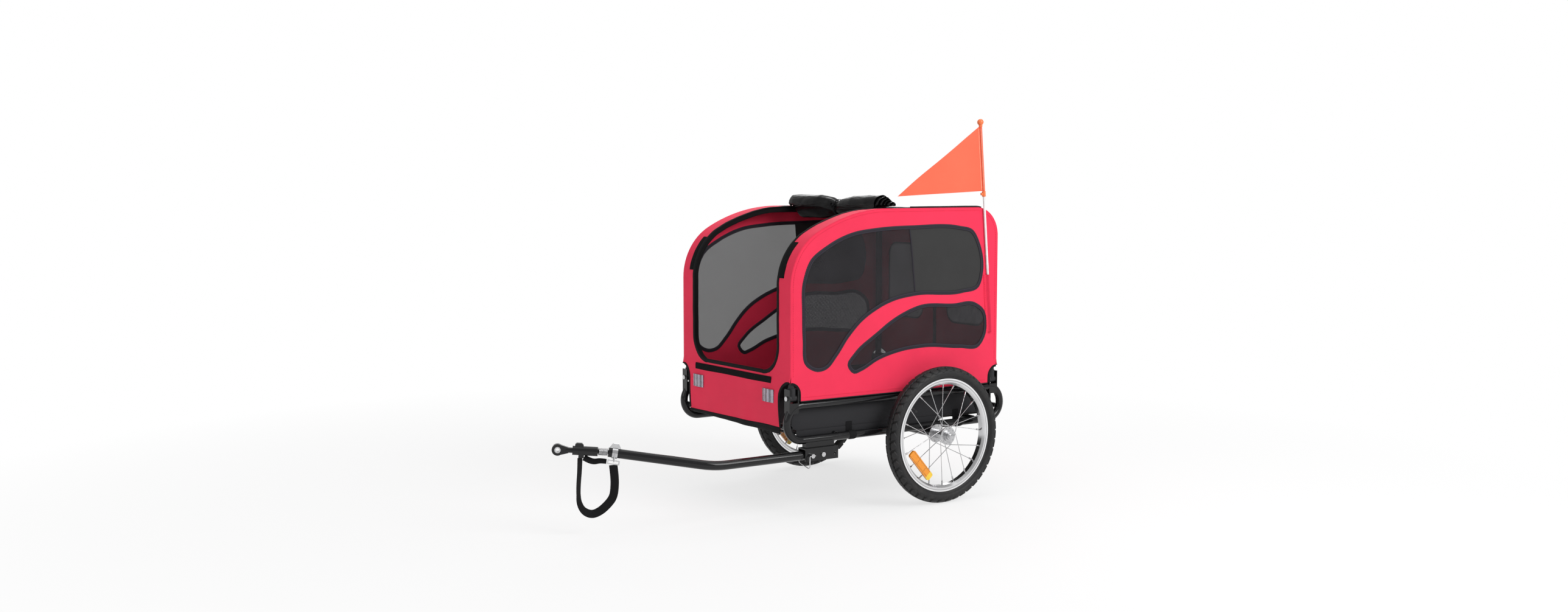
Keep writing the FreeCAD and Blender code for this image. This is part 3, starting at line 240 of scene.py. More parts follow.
class Finish(Nodes):
    """A material on one Principled shader, with the nodes that vary it."""

    def __init__(self, name, **constants):
        self.material = bpy.data.materials.new(name)
        self.material.use_nodes = True
        super().__init__(self.material.node_tree)
        self.shader = next(n for n in self.tree.nodes if n.type == "BSDF_PRINCIPLED")
        for key, value in constants.items():
            self.link(self.shader.inputs[key.replace("_", " ").title().replace("Ior", "IOR")], value)

    def set(self, name, value):
        self.link(self.shader.inputs[name], value)
        return self

    def coordinates(self, kind="Object"):
        return self.node("ShaderNodeTexCoord", output=kind)

    def flat(self):
        """The two directions along a cut of cloth, in metres."""
        split = self.node("ShaderNodeSeparateXYZ", inputs={0: self.coordinates("UV")})
        return split, Socket(self, split.output.node.outputs[1])

    def axis(self, name):
        """The distance along X, Y or Z of the frame, in metres."""
        return self.node("ShaderNodeSeparateXYZ", inputs={0: self.coordinates()}, output=name)

    def clouds(self, scale, detail=3.0):
        return self.node("ShaderNodeTexNoise", inputs={
            "Vector": self.coordinates(), "Scale": scale, "Detail": detail})

    def drawn(self, scale, detail, distortion=0.0):
        """Noise with its own scale along each axis, drawn out where that is small."""
        at = self.node("ShaderNodeMapping", inputs={"Vector": self.coordinates(), "Scale": scale})
        return self.node("ShaderNodeTexNoise", inputs={
            "Vector": at, "Scale": 1.0, "Detail": detail, "Distortion": distortion})

    def cells(self, scale):
        inputs = {"Vector": self.coordinates(), "Scale": scale}
        return self.node("ShaderNodeTexVoronoi", {"feature": "F1"}, inputs)

    def about(self, node):
        """The rise and the run from the middle of a CAD node, and its half sizes."""
        low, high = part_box(node)
        middle = (low + high) / 2
        return self.axis("Z") - middle.z, self.axis("Y") - middle.y, (high - low) / 2

    def mix(self, share, one, two):
        return self.node("ShaderNodeMix", {"data_type": "RGBA"}, {0: share, 6: one, 7: two}, output=2)

    def tones(self, share, colour, first, second):
        """Base colour between two shades of one colour."""
        return self.set("Base Color", self.mix(share, shade(colour, first), shade(colour, second)))

    def relief(self, height, depth, strength=1.0):
        """Bumps of the given depth in metres."""
        bump = self.node("ShaderNodeBump", inputs={"Height": height, "Distance": depth, "Strength": strength})
        return self.set("Normal", bump)


def shade(colour, amount):
    return tuple(min(1.0, channel * amount) for channel in colour)


def woven(name, colour, pitch=0.0012, roughness=0.8, depth=0.0004, lustre=0.1):
    """Plain-weave cloth with uneven threads and soft creases."""
    finish = Finish(
        name, base_color=colour, sheen_weight=0.03, sheen_roughness=0.5, specular_ior_level=lustre)
    across, along = finish.flat()
    weave = across.wave(pitch) * along.wave(pitch)
    slubs, patches, folds = finish.clouds(420.0, 2.0), finish.clouds(9.0, 4.0), finish.clouds(6.0, 1.5)
    finish.tones((weave * 0.12 + slubs * 0.3 + patches * 0.75).above(0.1, 0.95), colour, 0.88, 1.1)
    finish.set("Roughness", slubs * 0.12 + (roughness - 0.06))
    return finish.relief(weave * 0.5 + patches * 6.0 + folds * 34.0 + slubs * 0.4, depth, 0.55)


def mesh_cloth(name, colour, pitch=0.0036):
    """Open mesh: small round holes in a staggered net."""
    finish = Finish(name, base_color=colour, roughness=0.7, specular_ior_level=0.1)
    across, along = finish.flat()
    net = (across + along).wave(pitch) * (across - along).wave(pitch)
    hole = net.size().above(0.14, 0.3)
    finish.tones(finish.clouds(14.0), colour, 0.8, 1.5)
    finish.set("Alpha", 1.0 - hole * 0.6)
    return finish.relief(1.0 - hole, 0.0004, 0.5)


def ribbed_tape(name, colour, rib=0.0011, stitched=True, roughness=0.72):
    """Binding or webbing: ribs along it and, where it is sewn, a row of stitches near each edge."""
    finish = Finish(name, base_color=colour, specular_ior_level=0.12)
    along, across = finish.flat()
    ribs, twill = across.wave(rib), (along + across).wave(rib * 1.7)
    fuzz = finish.clouds(260.0)
    height = ribs * 0.35 + twill * 0.3 + fuzz * 0.5
    tone = (ribs + twill) * 0.2 + fuzz * 0.6
    cloth = finish.mix(tone.above(0.0, 0.9), shade(colour, 0.75), shade(colour, 1.5))
    if stitched:
        rows = 1.0 - (across.size() - 0.0036).size().above(0.0004, 0.0008)
        stitch = rows * along.wave(0.0055).above(-0.35, -0.1)
        cloth = finish.mix(stitch, cloth, shade(colour, 2.4))
        height = height + stitch * 1.6
    finish.set("Base Color", cloth)
    finish.set("Roughness", fuzz * 0.15 + (roughness - 0.07))
    return finish.relief(height, 0.0004, 0.6)


def hook_tape(name, colour):
    """The furry face of hook-and-loop tape."""
    finish = Finish(name, base_color=colour, roughness=0.95, specular_ior_level=0.1)
    finish.tones(finish.clouds(180.0, 2.0).above(0.62, 0.8), colour, 0.8, 3.2)
    return finish.relief(finish.clouds(700.0, 4.0), 0.0012, 0.8)


def powder_coat(name, colour):
    """Glossy black coating with a faint orange-peel skin, a little rubbed and dusty."""
    finish = Finish(name, base_color=colour, coat_weight=0.5, coat_roughness=0.05, specular_ior_level=0.1)
    rubbed = finish.clouds(35.0, 6.0)
    finish.tones(rubbed.above(0.55, 0.85), colour, 1.0, 2.0)
    finish.set("Roughness", rubbed * 0.16 + 0.09)
    return finish.relief(finish.clouds(650.0, 2.0), 0.00008, 0.4)


def bright_metal(name, colour, roughness=0.16):
    """Plated steel with fine scratches and slightly dull patches."""
    finish = Finish(name, base_color=colour, metallic=1.0)
    patches, scratches = finish.clouds(60.0, 5.0), finish.drawn((900.0, 60.0, 900.0), 2.0)
    finish.tones(patches.above(0.4, 0.75), colour, 1.0, 0.7)
    finish.set("Roughness", patches * 0.14 + scratches * 0.1 + (roughness - 0.1))
    return finish.relief(scratches, 0.00008, 0.35)


def polished_rim(name, colour):
    """Polished aluminium turned on a lathe: rings round the axle, a painted highlight on the lip, and painted
    shade in a groove and in the well.
    """
    finish = Finish(name, base_color=colour, metallic=1.0)
    rise, run, half = finish.about("left_rim")
    radius, outer = (rise * rise + run * run).root(), half.z
    rings = radius.wave(0.0011)
    painted_lip_highlight = radius.above(outer - 0.0042, outer - 0.0034)
    groove = 1.0 - (radius - (outer - 0.0055)).size().above(0.0005, 0.0011)
    painted_well_shade = 1.0 - radius.above(outer - 0.016, outer - 0.010)
    haze = finish.clouds(22.0, 3.0)
    # Painted light: the lip is lightened as a highlight, and the groove and the well are darkened as shade;
    # the haze varies at random
    tone = painted_lip_highlight * 0.3 - groove * 0.55 - painted_well_shade * 0.25 + haze * 0.35 + 0.5
    finish.tones(tone.above(0.0, 1.0), colour, 0.45, 1.15)
    finish.set("Roughness", haze * 0.1 + rings * 0.01 + 0.12)
    return finish.relief(rings * 0.05 - groove * 2.0, 0.0002, 0.4)


def moulded(name, colour, roughness=0.45, gloss=0.0):
    """Moulded plastic with a fine grain."""
    finish = Finish(name, base_color=colour, coat_weight=gloss, coat_roughness=0.1, specular_ior_level=0.3)
    scuffs = finish.clouds(50.0, 5.0)
    finish.tones(scuffs.above(0.5, 0.85), colour, 1.0, 1.5)
    finish.set("Roughness", scuffs * 0.18 + (roughness - 0.09))
    return finish.relief(finish.clouds(900.0, 2.0), 0.0001, 0.5)


def tyre_rubber(name, colour):
    """Dull black rubber with painted shade between the tread blocks; across a cut is the tread's height."""
    finish = Finish(name, base_color=colour, specular_ior_level=0.25)
    height = finish.flat()[1]
    dust = finish.clouds(38.0, 6.0)
    worn = finish.mix(dust.above(0.45, 0.8), colour, (0.032, 0.031, 0.030))
    # Painted shade: where the tread is low, between the blocks, the rubber is darkened almost to black
    finish.set("Base Color", finish.mix(height.above(0.0002, 0.0026), (0.005, 0.005, 0.005), worn))
    finish.set("Roughness", dust * 0.2 + 0.42)
    return finish.relief(finish.clouds(520.0, 2.0), 0.0003, 0.5)


def rolled_vinyl(name, colour):
    """Thin glossy sheet with long sharp creases across its roll."""
    finish = Finish(name, base_color=colour, specular_ior_level=0.18)
    creases, crumple = finish.drawn((7.0, 48.0, 48.0), 4.0, 0.6), finish.clouds(55.0, 4.0)
    ridges = 1.0 - (creases - 0.5).size().above(0.0, 0.12)
    finish.tones(crumple.above(0.4, 0.8), colour, 1.0, 2.2)
    finish.set("Roughness", crumple * 0.2 + 0.13)
    return finish.relief(ridges * 0.5 + creases * 1.2 + crumple * 0.3, 0.0025, 0.45)


def prism_lens(name, colour):
    """A reflector's lens, with rows of small prisms behind a smooth face."""
    finish = Finish(name, base_color=colour, coat_weight=0.6, coat_roughness=0.05, specular_ior_level=0.3)
    cells = finish.cells(320.0)
    finish.tones(cells.above(0.1, 0.7), colour, 1.2, 0.6)
    finish.set("Roughness", finish.clouds(120.0) * 0.2 + 0.15)
    return finish.relief(cells, 0.0012, 0.7)


def amber_lens(name, colour):
    """Amber prisms in three fields, with one pale end."""
    finish = Finish(name, base_color=colour, coat_weight=0.5, coat_roughness=0.05, specular_ior_level=0.3)
    rise, run, half = finish.about("left_spoke_reflector")
    slope = math.atan2(half.z, half.y)
    along = run * math.cos(slope) - rise * math.sin(slope)
    across = run * math.sin(slope) + rise * math.cos(slope)
    cells = finish.cells(340.0)
    fields = ((along.size() - 0.017).size().above(0.0006, 0.0014)
              * (across.size() - 0.0085).size().above(0.0005, 0.0012))
    prisms = finish.mix(cells.above(0.1, 0.7), shade(colour, 1.08), shade(colour, 0.84))
    lens = finish.mix(fields, shade(colour, 0.66), prisms)
    finish.set("Base Color", finish.mix(along.above(0.036, 0.038), lens, (0.93, 0.62, 0.05)))
    finish.set("Roughness", cells * 0.2 + 0.14)
    return finish.relief(cells * 0.5 + fields, 0.0012, 0.7)


def ridged_reflector(name, colour):
    """Silvered plastic with upright ridges behind a smooth face, with painted light and shade along the
    ridges.
    """
    finish = Finish(name, base_color=colour, metallic=0.85, coat_weight=0.4, coat_roughness=0.08)
    across = finish.axis("X")
    ridges, smudge = across.wave(0.0183), finish.clouds(90.0)
    # Painted light and shade: the ridges' crests are lightened and their hollows darkened; the smudges vary
    # at random
    finish.tones((ridges * 0.5 + smudge).above(0.0, 1.0), colour, 0.4, 1.3)
    finish.set("Roughness", smudge * 0.25 + 0.14)
    return finish.relief(ridges + across.wave(0.0016) * 0.15, 0.0016, 0.9)


def film_faced_board(name, colour):
    """Dark film-faced board with the wood's grain under the film."""
    finish = Finish(name, base_color=colour, specular_ior_level=0.2)
    grain = finish.drawn((70.0, 4.0, 70.0), 6.0)
    finish.tones(grain.above(0.3, 0.7), colour, 0.7, 1.5)
    finish.set("Roughness", grain * 0.2 + 0.5)
    return finish.relief(grain, 0.0003, 0.5)


# Each finish: a slot name, and its maker from a name and the colour settings
FINISHES = {
    "red_cloth": ("red_fabric", lambda n, c: woven(n, c.red, lustre=0.17, roughness=0.66)),
    "black_cloth": ("black_fabric", lambda n, c: woven(n, c.black, roughness=0.7)),
    "tray_cloth": ("black_fabric", lambda n, c: woven(n, shade(c.black, 2.7), roughness=0.7)),
    "window_cloth": ("mesh", lambda n, c: woven(n, c.cloth, pitch=0.0016)),
    "window_mesh": ("mesh", lambda n, c: mesh_cloth(n, c.mesh)),
    "binding": ("black_fabric", lambda n, c: ribbed_tape(n, c.binding)),
    "hem_tape": ("black_fabric", lambda n, c: ribbed_tape(n, shade(c.black, 0.7))),
    "zip_tape": ("black_fabric", lambda n, c: ribbed_tape(n, shade(c.black, 0.6), 0.0022, False)),
    "webbing": ("webbing", lambda n, c: ribbed_tape(n, shade(c.black, 0.8), 0.0016, False)),
    "thread": ("red_fabric", lambda n, c: moulded(n, (0.70, 0.027, 0.075), 0.8)),
    "flag_thread": ("orange_fabric", lambda n, c: moulded(n, (0.93, 0.42, 0.28), 0.7)),
    "hook_tape": ("black_fabric", lambda n, c: hook_tape(n, shade(c.black, 0.8))),
    "powder_coat": ("frame_black", lambda n, c: powder_coat(n, c.coat)),
    "bright_steel": ("bright_steel", lambda n, c: bright_metal(n, (0.60, 0.60, 0.61))),
    "polished_rim": ("bright_steel", lambda n, c: polished_rim(n, (0.74, 0.74, 0.75))),
    "satin_steel": ("bright_steel", lambda n, c: bright_metal(n, (0.56, 0.56, 0.57), 0.26)),
    "black_plastic": ("black_plastic", lambda n, c: moulded(n, (0.016, 0.016, 0.018))),
    "white_rod": ("white_plastic", lambda n, c: moulded(n, (0.8, 0.8, 0.8), 0.3, 0.3)),
    "orange_ball": ("orange_plastic", lambda n, c: moulded(n, (0.9, 0.2, 0.06), 0.3, 0.4)),
    "flag_cloth": ("orange_fabric", lambda n, c: woven(n, c.flag, pitch=0.0009, depth=0.0002)),
    "tyre_rubber": ("tyre", lambda n, c: tyre_rubber(n, (0.019, 0.019, 0.020))),
    "rolled_vinyl": ("vinyl", lambda n, c: rolled_vinyl(n, (0.0025, 0.0025, 0.0028))),
    "amber_lens": ("amber", lambda n, c: amber_lens(n, c.amber)),
    "silver_reflector": ("clear_reflector", lambda n, c: ridged_reflector(n, (0.34, 0.31, 0.37))),
    "red_lens": ("red_reflector", lambda n, c: prism_lens(n, (0.5, 0.012, 0.015))),
    "floor_board": ("board", lambda n, c: film_faced_board(n, (0.016, 0.014, 0.013))),
}


MADE = {}


def finish_for(name):
    """The named finish, made the first time that it is asked for."""
    if name not in MADE:
        MADE[name] = FINISHES[name][1](name, bpy.context.scene.trailer_colours)
    return MADE[name].material


# Mesh building


class Shell:
    """Points, faces and flat coordinates that become one piece."""

    def __init__(self):
        self.points = []
        self.faces = []
        self.flat = []

    def add(self, points, faces, flat):
        first = len(self.points)
        self.points += [Vector(p) for p in points]
        self.faces += [tuple(first + i for i in face) for face in faces]
        self.flat += [(u * MM, v * MM) for u, v in flat]
        return self

    def piece(self, name, finish_name, body=None):
        mesh = bpy.data.meshes.new(name)
        mesh.from_pydata([place(p) for p in self.points], [], self.faces)
        layer = mesh.uv_layers.new(name="Cut")
        corners = np.zeros(len(mesh.loops), np.int32)
        mesh.loops.foreach_get("vertex_index", corners)
        layer.data.foreach_set("uv", np.array(self.flat, np.float32)[corners].ravel())
        tidy = bmesh.new()
        tidy.from_mesh(mesh)
        bmesh.ops.recalc_face_normals(tidy, faces=tidy.faces)
        tidy.to_mesh(mesh)
        tidy.free()
        mesh.polygons.foreach_set("use_smooth", [True] * len(mesh.polygons))
        mesh.set_sharp_from_angle(angle=math.radians(50))
        mesh.materials.append(finish_for(finish_name))
        made = bpy.data.objects.new(name, mesh)
        bpy.context.scene.collection.objects.link(made)
        if body:
            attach(made, body)
        return made


def walk(points, step=10.0, closed=False):
    """The same line with points at most a step apart."""
    ends = list(zip(points, points[1:] + points[:1])) if closed else list(zip(points, points[1:]))
    walked = []
    for start, end in ends:
        start, end = Vector(start), Vector(end)
        count = max(1, math.ceil((end - start).length / step))
        walked += [start.lerp(end, i / count) for i in range(count)]
    return walked if closed else walked + [Vector(points[-1])]


def smooth_loop(points, step=10.0):
    """A smooth closed outline through the points that steer it."""
    spots = [Vector(p) for p in points]
    arms = []
    for before, spot, after in zip(spots[-1:] + spots, spots, spots[1:] + spots[:1]):
        back, ahead = spot - before, after - spot
        way = ahead.normalized() * back.length + back.normalized() * ahead.length
        way /= back.length + ahead.length
        arms.append((spot - way * (back.length / 3), spot + way * (ahead.length / 3)))
    outline = []
    for i, spot in enumerate(spots):
        j = (i + 1) % len(spots)
        pieces = max(2, math.ceil((spots[j] - spot).length / step))
        curve = geometry.interpolate_bezier(spot, arms[i][1], arms[j][0], spots[j], pieces + 1)
        outline += [Vector(p[:2]) for p in curve[:-1]]
    return outline


def inside(points, outline):
    """Which of the points lie inside a closed outline."""
    p = np.array([tuple(x)[:2] for x in points])
    a = np.array([tuple(x)[:2] for x in outline])
    b = np.roll(a, -1, axis=0)
    crosses = (a[:, 1] > p[:, None, 1]) != (b[:, 1] > p[:, None, 1])
    slope = (b[:, 0] - a[:, 0]) / np.where(b[:, 1] == a[:, 1], 1e-9, b[:, 1] - a[:, 1])
    left = p[:, None, 0] < a[:, 0] + slope * (p[:, None, 1] - a[:, 1])
    return (crosses & left).sum(axis=1) % 2 == 1


def cut_cloth(outline, holes=(), step=12.0):
    """Triangles over a flat outline with holes, with points inside it about a step apart."""
    loops = [list(outline), *[list(hole) for hole in holes]]
    points, edges = [], []
    for loop in loops:
        first = len(points)
        points += [Vector(p[:2]) for p in loop]
        edges += [(first + i, first + (i + 1) % len(loop)) for i in range(len(loop))]
    low = [min(p[i] for p in loops[0]) for i in range(2)]
    high = [max(p[i] for p in loops[0]) for i in range(2)]
    rows = [Vector((low[0] + (i + 0.5 * (j % 2)) * step, low[1] + j * step * 0.866))
            for j in range(1, int((high[1] - low[1]) / step / 0.866) + 1)
            for i in range(int((high[0] - low[0]) / step) + 1)]
    keep = inside(rows, loops[0])
    for hole in loops[1:]:
        keep &= ~inside(rows, hole)
    edge = np.array([tuple(p) for p in points])
    spots = np.array([tuple(p) for p in rows])
    near = np.min(np.linalg.norm(spots[:, None] - edge[None], axis=2), axis=1)
    points += [p for p, good, gap in zip(rows, keep, near) if good and gap > step * 0.55]
    verts, _, faces = geometry.delaunay_2d_cdt(points, edges, [], 1, 1e-5)[:3]
    middles = [sum((verts[i] for i in face), Vector((0, 0))) / len(face) for face in faces]
    good = inside(middles, loops[0])
    for hole in loops[1:]:
        good &= ~inside(middles, hole)
    return verts, [face for face, ok in zip(faces, good) if ok]


def sew(shell, cut, surface, thickness):
    """Lay a flat cut on a surface, with both of its faces and its raw edges."""
    verts, faces = cut
    laid = [surface(u, v) for u, v in verts]
    count = len(laid)
    both = [point + normal * (side * thickness / 2) for side in (1, -1) for point, normal in laid]
    seen = {(a, b): True for face in faces for a, b in zip(face, face[1:] + face[:1])}
    rim = [(b, a, a + count, b + count) for a, b in seen if (b, a) not in seen]
    back = [tuple(count + i for i in reversed(face)) for face in faces]
    return shell.add(both, [tuple(face) for face in faces] + back + rim, [(u, v) for u, v in verts] * 2)


def declare_cut(made, cuts):
    """Sums the area of the flat cuts that a piece was made from; the sum is not used."""
    area = sum(abs(geometry.area_tri(*(verts[i] for i in face[:3])))
               for verts, faces in cuts for face in faces)
    return made


def ways(line, closed=False):
    """The direction of a line at each of its points."""
    count = len(line)
    if closed:
        return [(line[(i + 1) % count] - line[i - 1]).normalized() for i in range(count)]
    return [(line[min(i + 1, count - 1)] - line[max(i - 1, 0)]).normalized() for i in range(count)]


def grid_faces(rows, columns, closed_rows=False, closed_columns=False):
    """Faces between the points of a grid, row by row."""
    return [(i * columns + k, i * columns + (k + 1) % columns,
             (i + 1) % rows * columns + (k + 1) % columns, (i + 1) % rows * columns + k)
            for i in range(rows - (not closed_rows)) for k in range(columns - (not closed_columns))]


def tube_faces(rings, sides, closed=False):
    """Faces round a row of rings, with its ends shut where it is open."""
    faces = grid_faces(rings, sides, closed, True)
    ends = [tuple(range(sides)), tuple(reversed(range((rings - 1) * sides, rings * sides)))]
    return faces if closed else faces + ends


def sheet_faces(rows, columns):
    """Faces of a thick sheet: its two sides, one after the other, and its edges."""
    back = rows * columns
    faces = grid_faces(rows, columns)
    faces += [tuple(back + face[i] for i in (0, 3, 2, 1)) for face in faces]
    for k in range(columns - 1):
        faces += [(a, a + 1, back + a + 1, back + a) for a in (k, (rows - 1) * columns + k)]
    for i in range(rows - 1):
        ends = (i * columns, (i + 1) * columns - 1)
        faces += [(a, a + columns, back + a + columns, back + a) for a in ends]
    return faces


def lay_tape(shell, centres, normals, width, height, closed=False, lift=0.0):
    """A low-crowned strip along a line, its face along the normals; width is one number or one each."""
    steps, count = 8, len(centres)
    widths = width if hasattr(width, "__len__") else [width] * count
    points, flat, run = [], [], 0.0
    along = ways(centres, closed)
    for i, (centre, normal, way, wide) in enumerate(zip(centres, normals, along, widths)):
        side = way.cross(normal).normalized()
        run += (centre - centres[i - 1]).length if i else 0.0
        shape = [(t, height * (1 - t ** 4)) for t in (2 * j / steps - 1 for j in range(steps + 1))]
        for t, up in shape + [(1, -height * 0.15), (-1, -height * 0.15)]:
            points.append(centre + side * (t * wide / 2) + normal * (lift + up))
            flat.append((run, t * wide / 2))
    return shell.add(points, tube_faces(count, steps + 3, closed), flat)


def lay_band(shell, centre, one, two, width, height, count):
    """A closed strap round a centre, through the ends of two arms."""
    ring = [centre + one * math.cos(a) + two * math.sin(a) for a in round_angles(count)]
    return lay_tape(shell, ring, [(p - centre).normalized() for p in ring], width, height, closed=True)


def round_angles(count):
    return np.linspace(0, 2 * math.pi, count, endpoint=False)


def lay_tube(shell, centres, radius, sides=14, closed=False):
    """A round tube along a line; radius is one number or one for each point."""
    radii = radius if hasattr(radius, "__len__") else [radius] * len(centres)
    tangents = ways(centres, closed)
    normal = tangents[0].orthogonal().normalized()
    points, flat, run = [], [], 0.0
    for i, centre in enumerate(centres):
        if i:
            normal = (normal - tangents[i] * normal.dot(tangents[i])).normalized()
            run += (centre - centres[i - 1]).length
        other = tangents[i].cross(normal)
        for k in range(sides):
            angle = 2 * math.pi * k / sides
            points.append(centre + (normal * math.cos(angle) + other * math.sin(angle)) * radii[i])
            flat.append((run, radii[i] * angle))
    return shell.add(points, tube_faces(len(centres), sides, closed), flat)


def lay_box(shell, centre, half, axes):
    """A small block with its half sizes along three directions."""
    arms = [axis * size for axis, size in zip(axes, half)]
    corners = [centre + sum((arm * sign for arm, sign in zip(arms, signs)), Vector())
               for signs in ((-1, -1, -1), (1, -1, -1), (1, 1, -1), (-1, 1, -1),
                             (-1, -1, 1), (1, -1, 1), (1, 1, 1), (-1, 1, 1))]
    faces = [(0, 1, 2, 3), (4, 5, 6, 7), (0, 1, 5, 4), (1, 2, 6, 5), (2, 3, 7, 6), (3, 0, 4, 7)]
    return shell.add(corners, faces, [(0, 0)] * 8)


def lay_stitches(shell, line, normals, length=4.0, gap=2.5, size=0.55):
    """A row of short threads along a line."""
    due = 0.0
    for (a, b), normal in zip(zip(line, line[1:]), normals):
        step = (b - a).length
        along = (b - a) / max(step, 1e-6)
        while due < step:
            lay_box(shell, a + along * due + normal * 0.2, (length / 2, size, size),
                    (along, along.cross(normal).normalized(), normal))
            due += length + gap
        due -= step
    return shell


def ripple(u, v, scale, seed=0.0):
    return noise.noise(Vector((u / scale, v / scale, seed)))


# Cabin surfaces


def profile_lengths():
    """The brow's angle, the height where the nose starts, and the lengths of the outline's stretches."""
    c = cabin()
    between = c.brow_radius - c.nose_radius
    lean = math.asin((c.brow_end - c.nose_radius + c.front) / between)
    nose_z = c.roof - c.brow_radius + between * math.cos(lean)
    nose, brow = c.nose_radius * (math.pi / 2 - lean), c.brow_radius * lean
    roof, back = c.rear - c.rear_radius - c.brow_end, c.rear_radius * math.pi / 2
    return lean, nose_z, (nose_z - c.sill, nose, brow, roof, back, c.roof - c.rear_radius - c.sill)


def profile(run, inset=0.0):
    """A place on the cover's outline at a distance from the sill, up the front and over the roof."""
    c = cabin()
    lean, nose_z, stretches = profile_lengths()
    stretch = 0
    while stretch < 5 and run >= stretches[stretch]:
        run -= stretches[stretch]
        stretch += 1
    bends = {1: (-c.front + c.nose_radius, nose_z, c.nose_radius, 0.0),
             2: (c.brow_end, c.roof - c.brow_radius, c.brow_radius, math.pi / 2 - lean),
             4: (c.rear - c.rear_radius, c.roof - c.rear_radius, c.rear_radius, math.pi / 2)}
    if stretch in bends:
        y, z, radius, start = bends[stretch]
        angle = start + run / radius
        normal = Vector((-math.cos(angle), math.sin(angle)))
        return Vector((y, z)) + normal * (radius - inset), normal
    if stretch == 0:
        return Vector((-c.front + inset, c.sill + run)), Vector((-1, 0))
    if stretch == 3:
        return Vector((c.brow_end + run, c.roof - inset)), Vector((0, 1))
    return Vector((c.rear - inset, c.roof - c.rear_radius - run)), Vector((1, 0))


def profile_total():
    return sum(profile_lengths()[2])


def run_on_roof(y):
    """How far along the outline a place on the flat roof is."""
    return sum(profile_lengths()[2][:3]) + y - cabin().brow_end


def cover_surface(sign):
    """The wrap-round cover: across is the distance from the middle, run goes along the outline."""
    c = cabin()

    def at(across, run):
        spot, normal = profile(run, c.thickness / 2)
        out = Vector((0, normal.x, normal.y))
        slack = 1.1 * ripple(across, run, 70, 3) + 0.7 * ripple(across, run, 24, 7)
        edge = unit((c.half_width - across) / 40)
        flat_roof = max(0.0, normal.y) ** 8
        sag = -5.0 * flat_roof * (1 - (across / c.half_width) ** 2)
        return Vector((sign * across, spot.x, spot.y)) + out * (slack * edge + sag), out

    return at


def side_surface(sign):
    """The side panel: along is the distance behind the axle."""
    c = cabin()

    def at(along, up):
        middle = unit((c.roof - up) / 90) * unit((up - c.side_edge) / 50)
        ends = unit((along + c.front) / 60) * unit((c.rear - along) / 60)
        slack = 2.2 * ripple(along, up, 110, 1) + 0.8 * ripple(along, up, 38, 5)
        x = c.half_width - c.thickness / 2 + (slack + 1.2) * middle * ends
        return Vector((sign * x, along, up)), LEFT * sign

    return at


def recessed(surface):
    """A surface just behind another one, for a window's cloth."""
    def at(u, v):
        spot, normal = surface(u, v)
        return spot - normal * WINDOW_RECESS, normal

    return at


def skirt_surface(face, outward):
    """An end panel below the sill: across runs over the trailer's whole width."""
    c = cabin()

    def at(across, up):
        drop = (c.sill - up) / (c.sill - c.skirt)
        belly = 4.0 * math.sin(math.pi * unit(drop))
        belly += unit(drop * 5) * (2.6 + 1.5 * ripple(across, up, 90, 2))
        gathers = drop ** 3 * (1.2 * math.sin(across / 23) + 1.6 * ripple(across, 0, 40, 9))
        return Vector((across, face + outward * (belly + gathers), up)), REARWARD * outward

    return at


# Windows, as (along, up) points that their curved edges pass through
UPPER_WINDOW = (
    (-446, 554), (-442, 652), (-420, 700), (-365, 738), (-283, 770), (-199, 781), (-69, 786), (100, 782),
    (151, 770), (178, 727), (188, 655), (172, 611), (114, 598), (-67, 597), (-133, 587), (-198, 564),
    (-257, 530), (-298, 491), (-340, 439), (-374, 408), (-401, 404), (-435, 421), (-444, 488))
LOWER_WINDOW = (
    (-294, 411), (-271, 440), (-197, 490), (-111, 538), (-45, 559), (80, 558), (161, 558), (195, 535),
    (200, 470), (177, 438), (105, 438), (-21, 448), (-121, 440), (-196, 421), (-254, 395), (-275, 390))
CLOTH_LINE = ((-82.0, 783.0), (-61.0, 600.0))


def clipped(outline, start, end, keep_left):
    """The part of a closed outline on one side of a line."""
    start, end = Vector(start), Vector(end)
    way = (end - start) * (1 if keep_left else -1)

    def side(p):
        return way.x * (p.y - start.y) - way.y * (p.x - start.x)

    kept = []
    for a, b in zip(outline, outline[1:] + outline[:1]):
        if side(a) >= 0:
            kept.append(a)
        if (side(a) >= 0) != (side(b) >= 0):
            kept.append(a.lerp(b, side(a) / (side(a) - side(b))))
    return walk(kept, 12.0, closed=True)


def arc(centre, radius, start, end, step=6.0):
    """Points on an arc from one angle to another, in degrees."""
    count = max(4, math.ceil(abs(math.radians(end - start)) * radius / step))
    angles = [math.radians(start + (end - start) * i / count) for i in range(count + 1)]
    return [Vector((centre[0] + radius * math.cos(a), centre[1] + radius * math.sin(a))) for a in angles]


ARCH_RADIUS, ARCH_UP = 31.0, 341.0
NET_THICKNESS, BLIND_THICKNESS, WINDOW_RECESS, SEAM_IN, SKIRT_IN = 0.6, 0.9, 0.9, 9.0, 0.6

# A rear window: its two edges from the middle, its ends above the cover's lower edge, and its corners
REAR_INNER, REAR_OUTER, REAR_HIGH, REAR_LOW, REAR_CORNER = 55, 232, 330, 90, 40


def side_outline(inset):
    """A side panel's edge: up from its front arch, over the roof and down to the rear arch."""
    c = cabin()
    low = ARCH_UP + ARCH_RADIUS - c.sill
    front_arch = arc((-c.front, ARCH_UP), ARCH_RADIUS, 0, 86)
    rear_arch = arc((c.rear, ARCH_UP), ARCH_RADIUS, 94, 180)
    total = profile_total() - low
    over = [profile(low + (total - low) * i / 190, inset)[0] for i in range(191)]
    bottom = walk([(y, c.side_edge) for y in (c.rear - ARCH_RADIUS, -c.front + ARCH_RADIUS)], 12)
    return front_arch + over[1:-1] + rear_arch + bottom, front_arch, rear_arch


def laid_line(points, surface):
    """The places and normals of flat points on a surface."""
    return tuple(zip(*(surface(p[0], p[1]) for p in points)))


# Operators


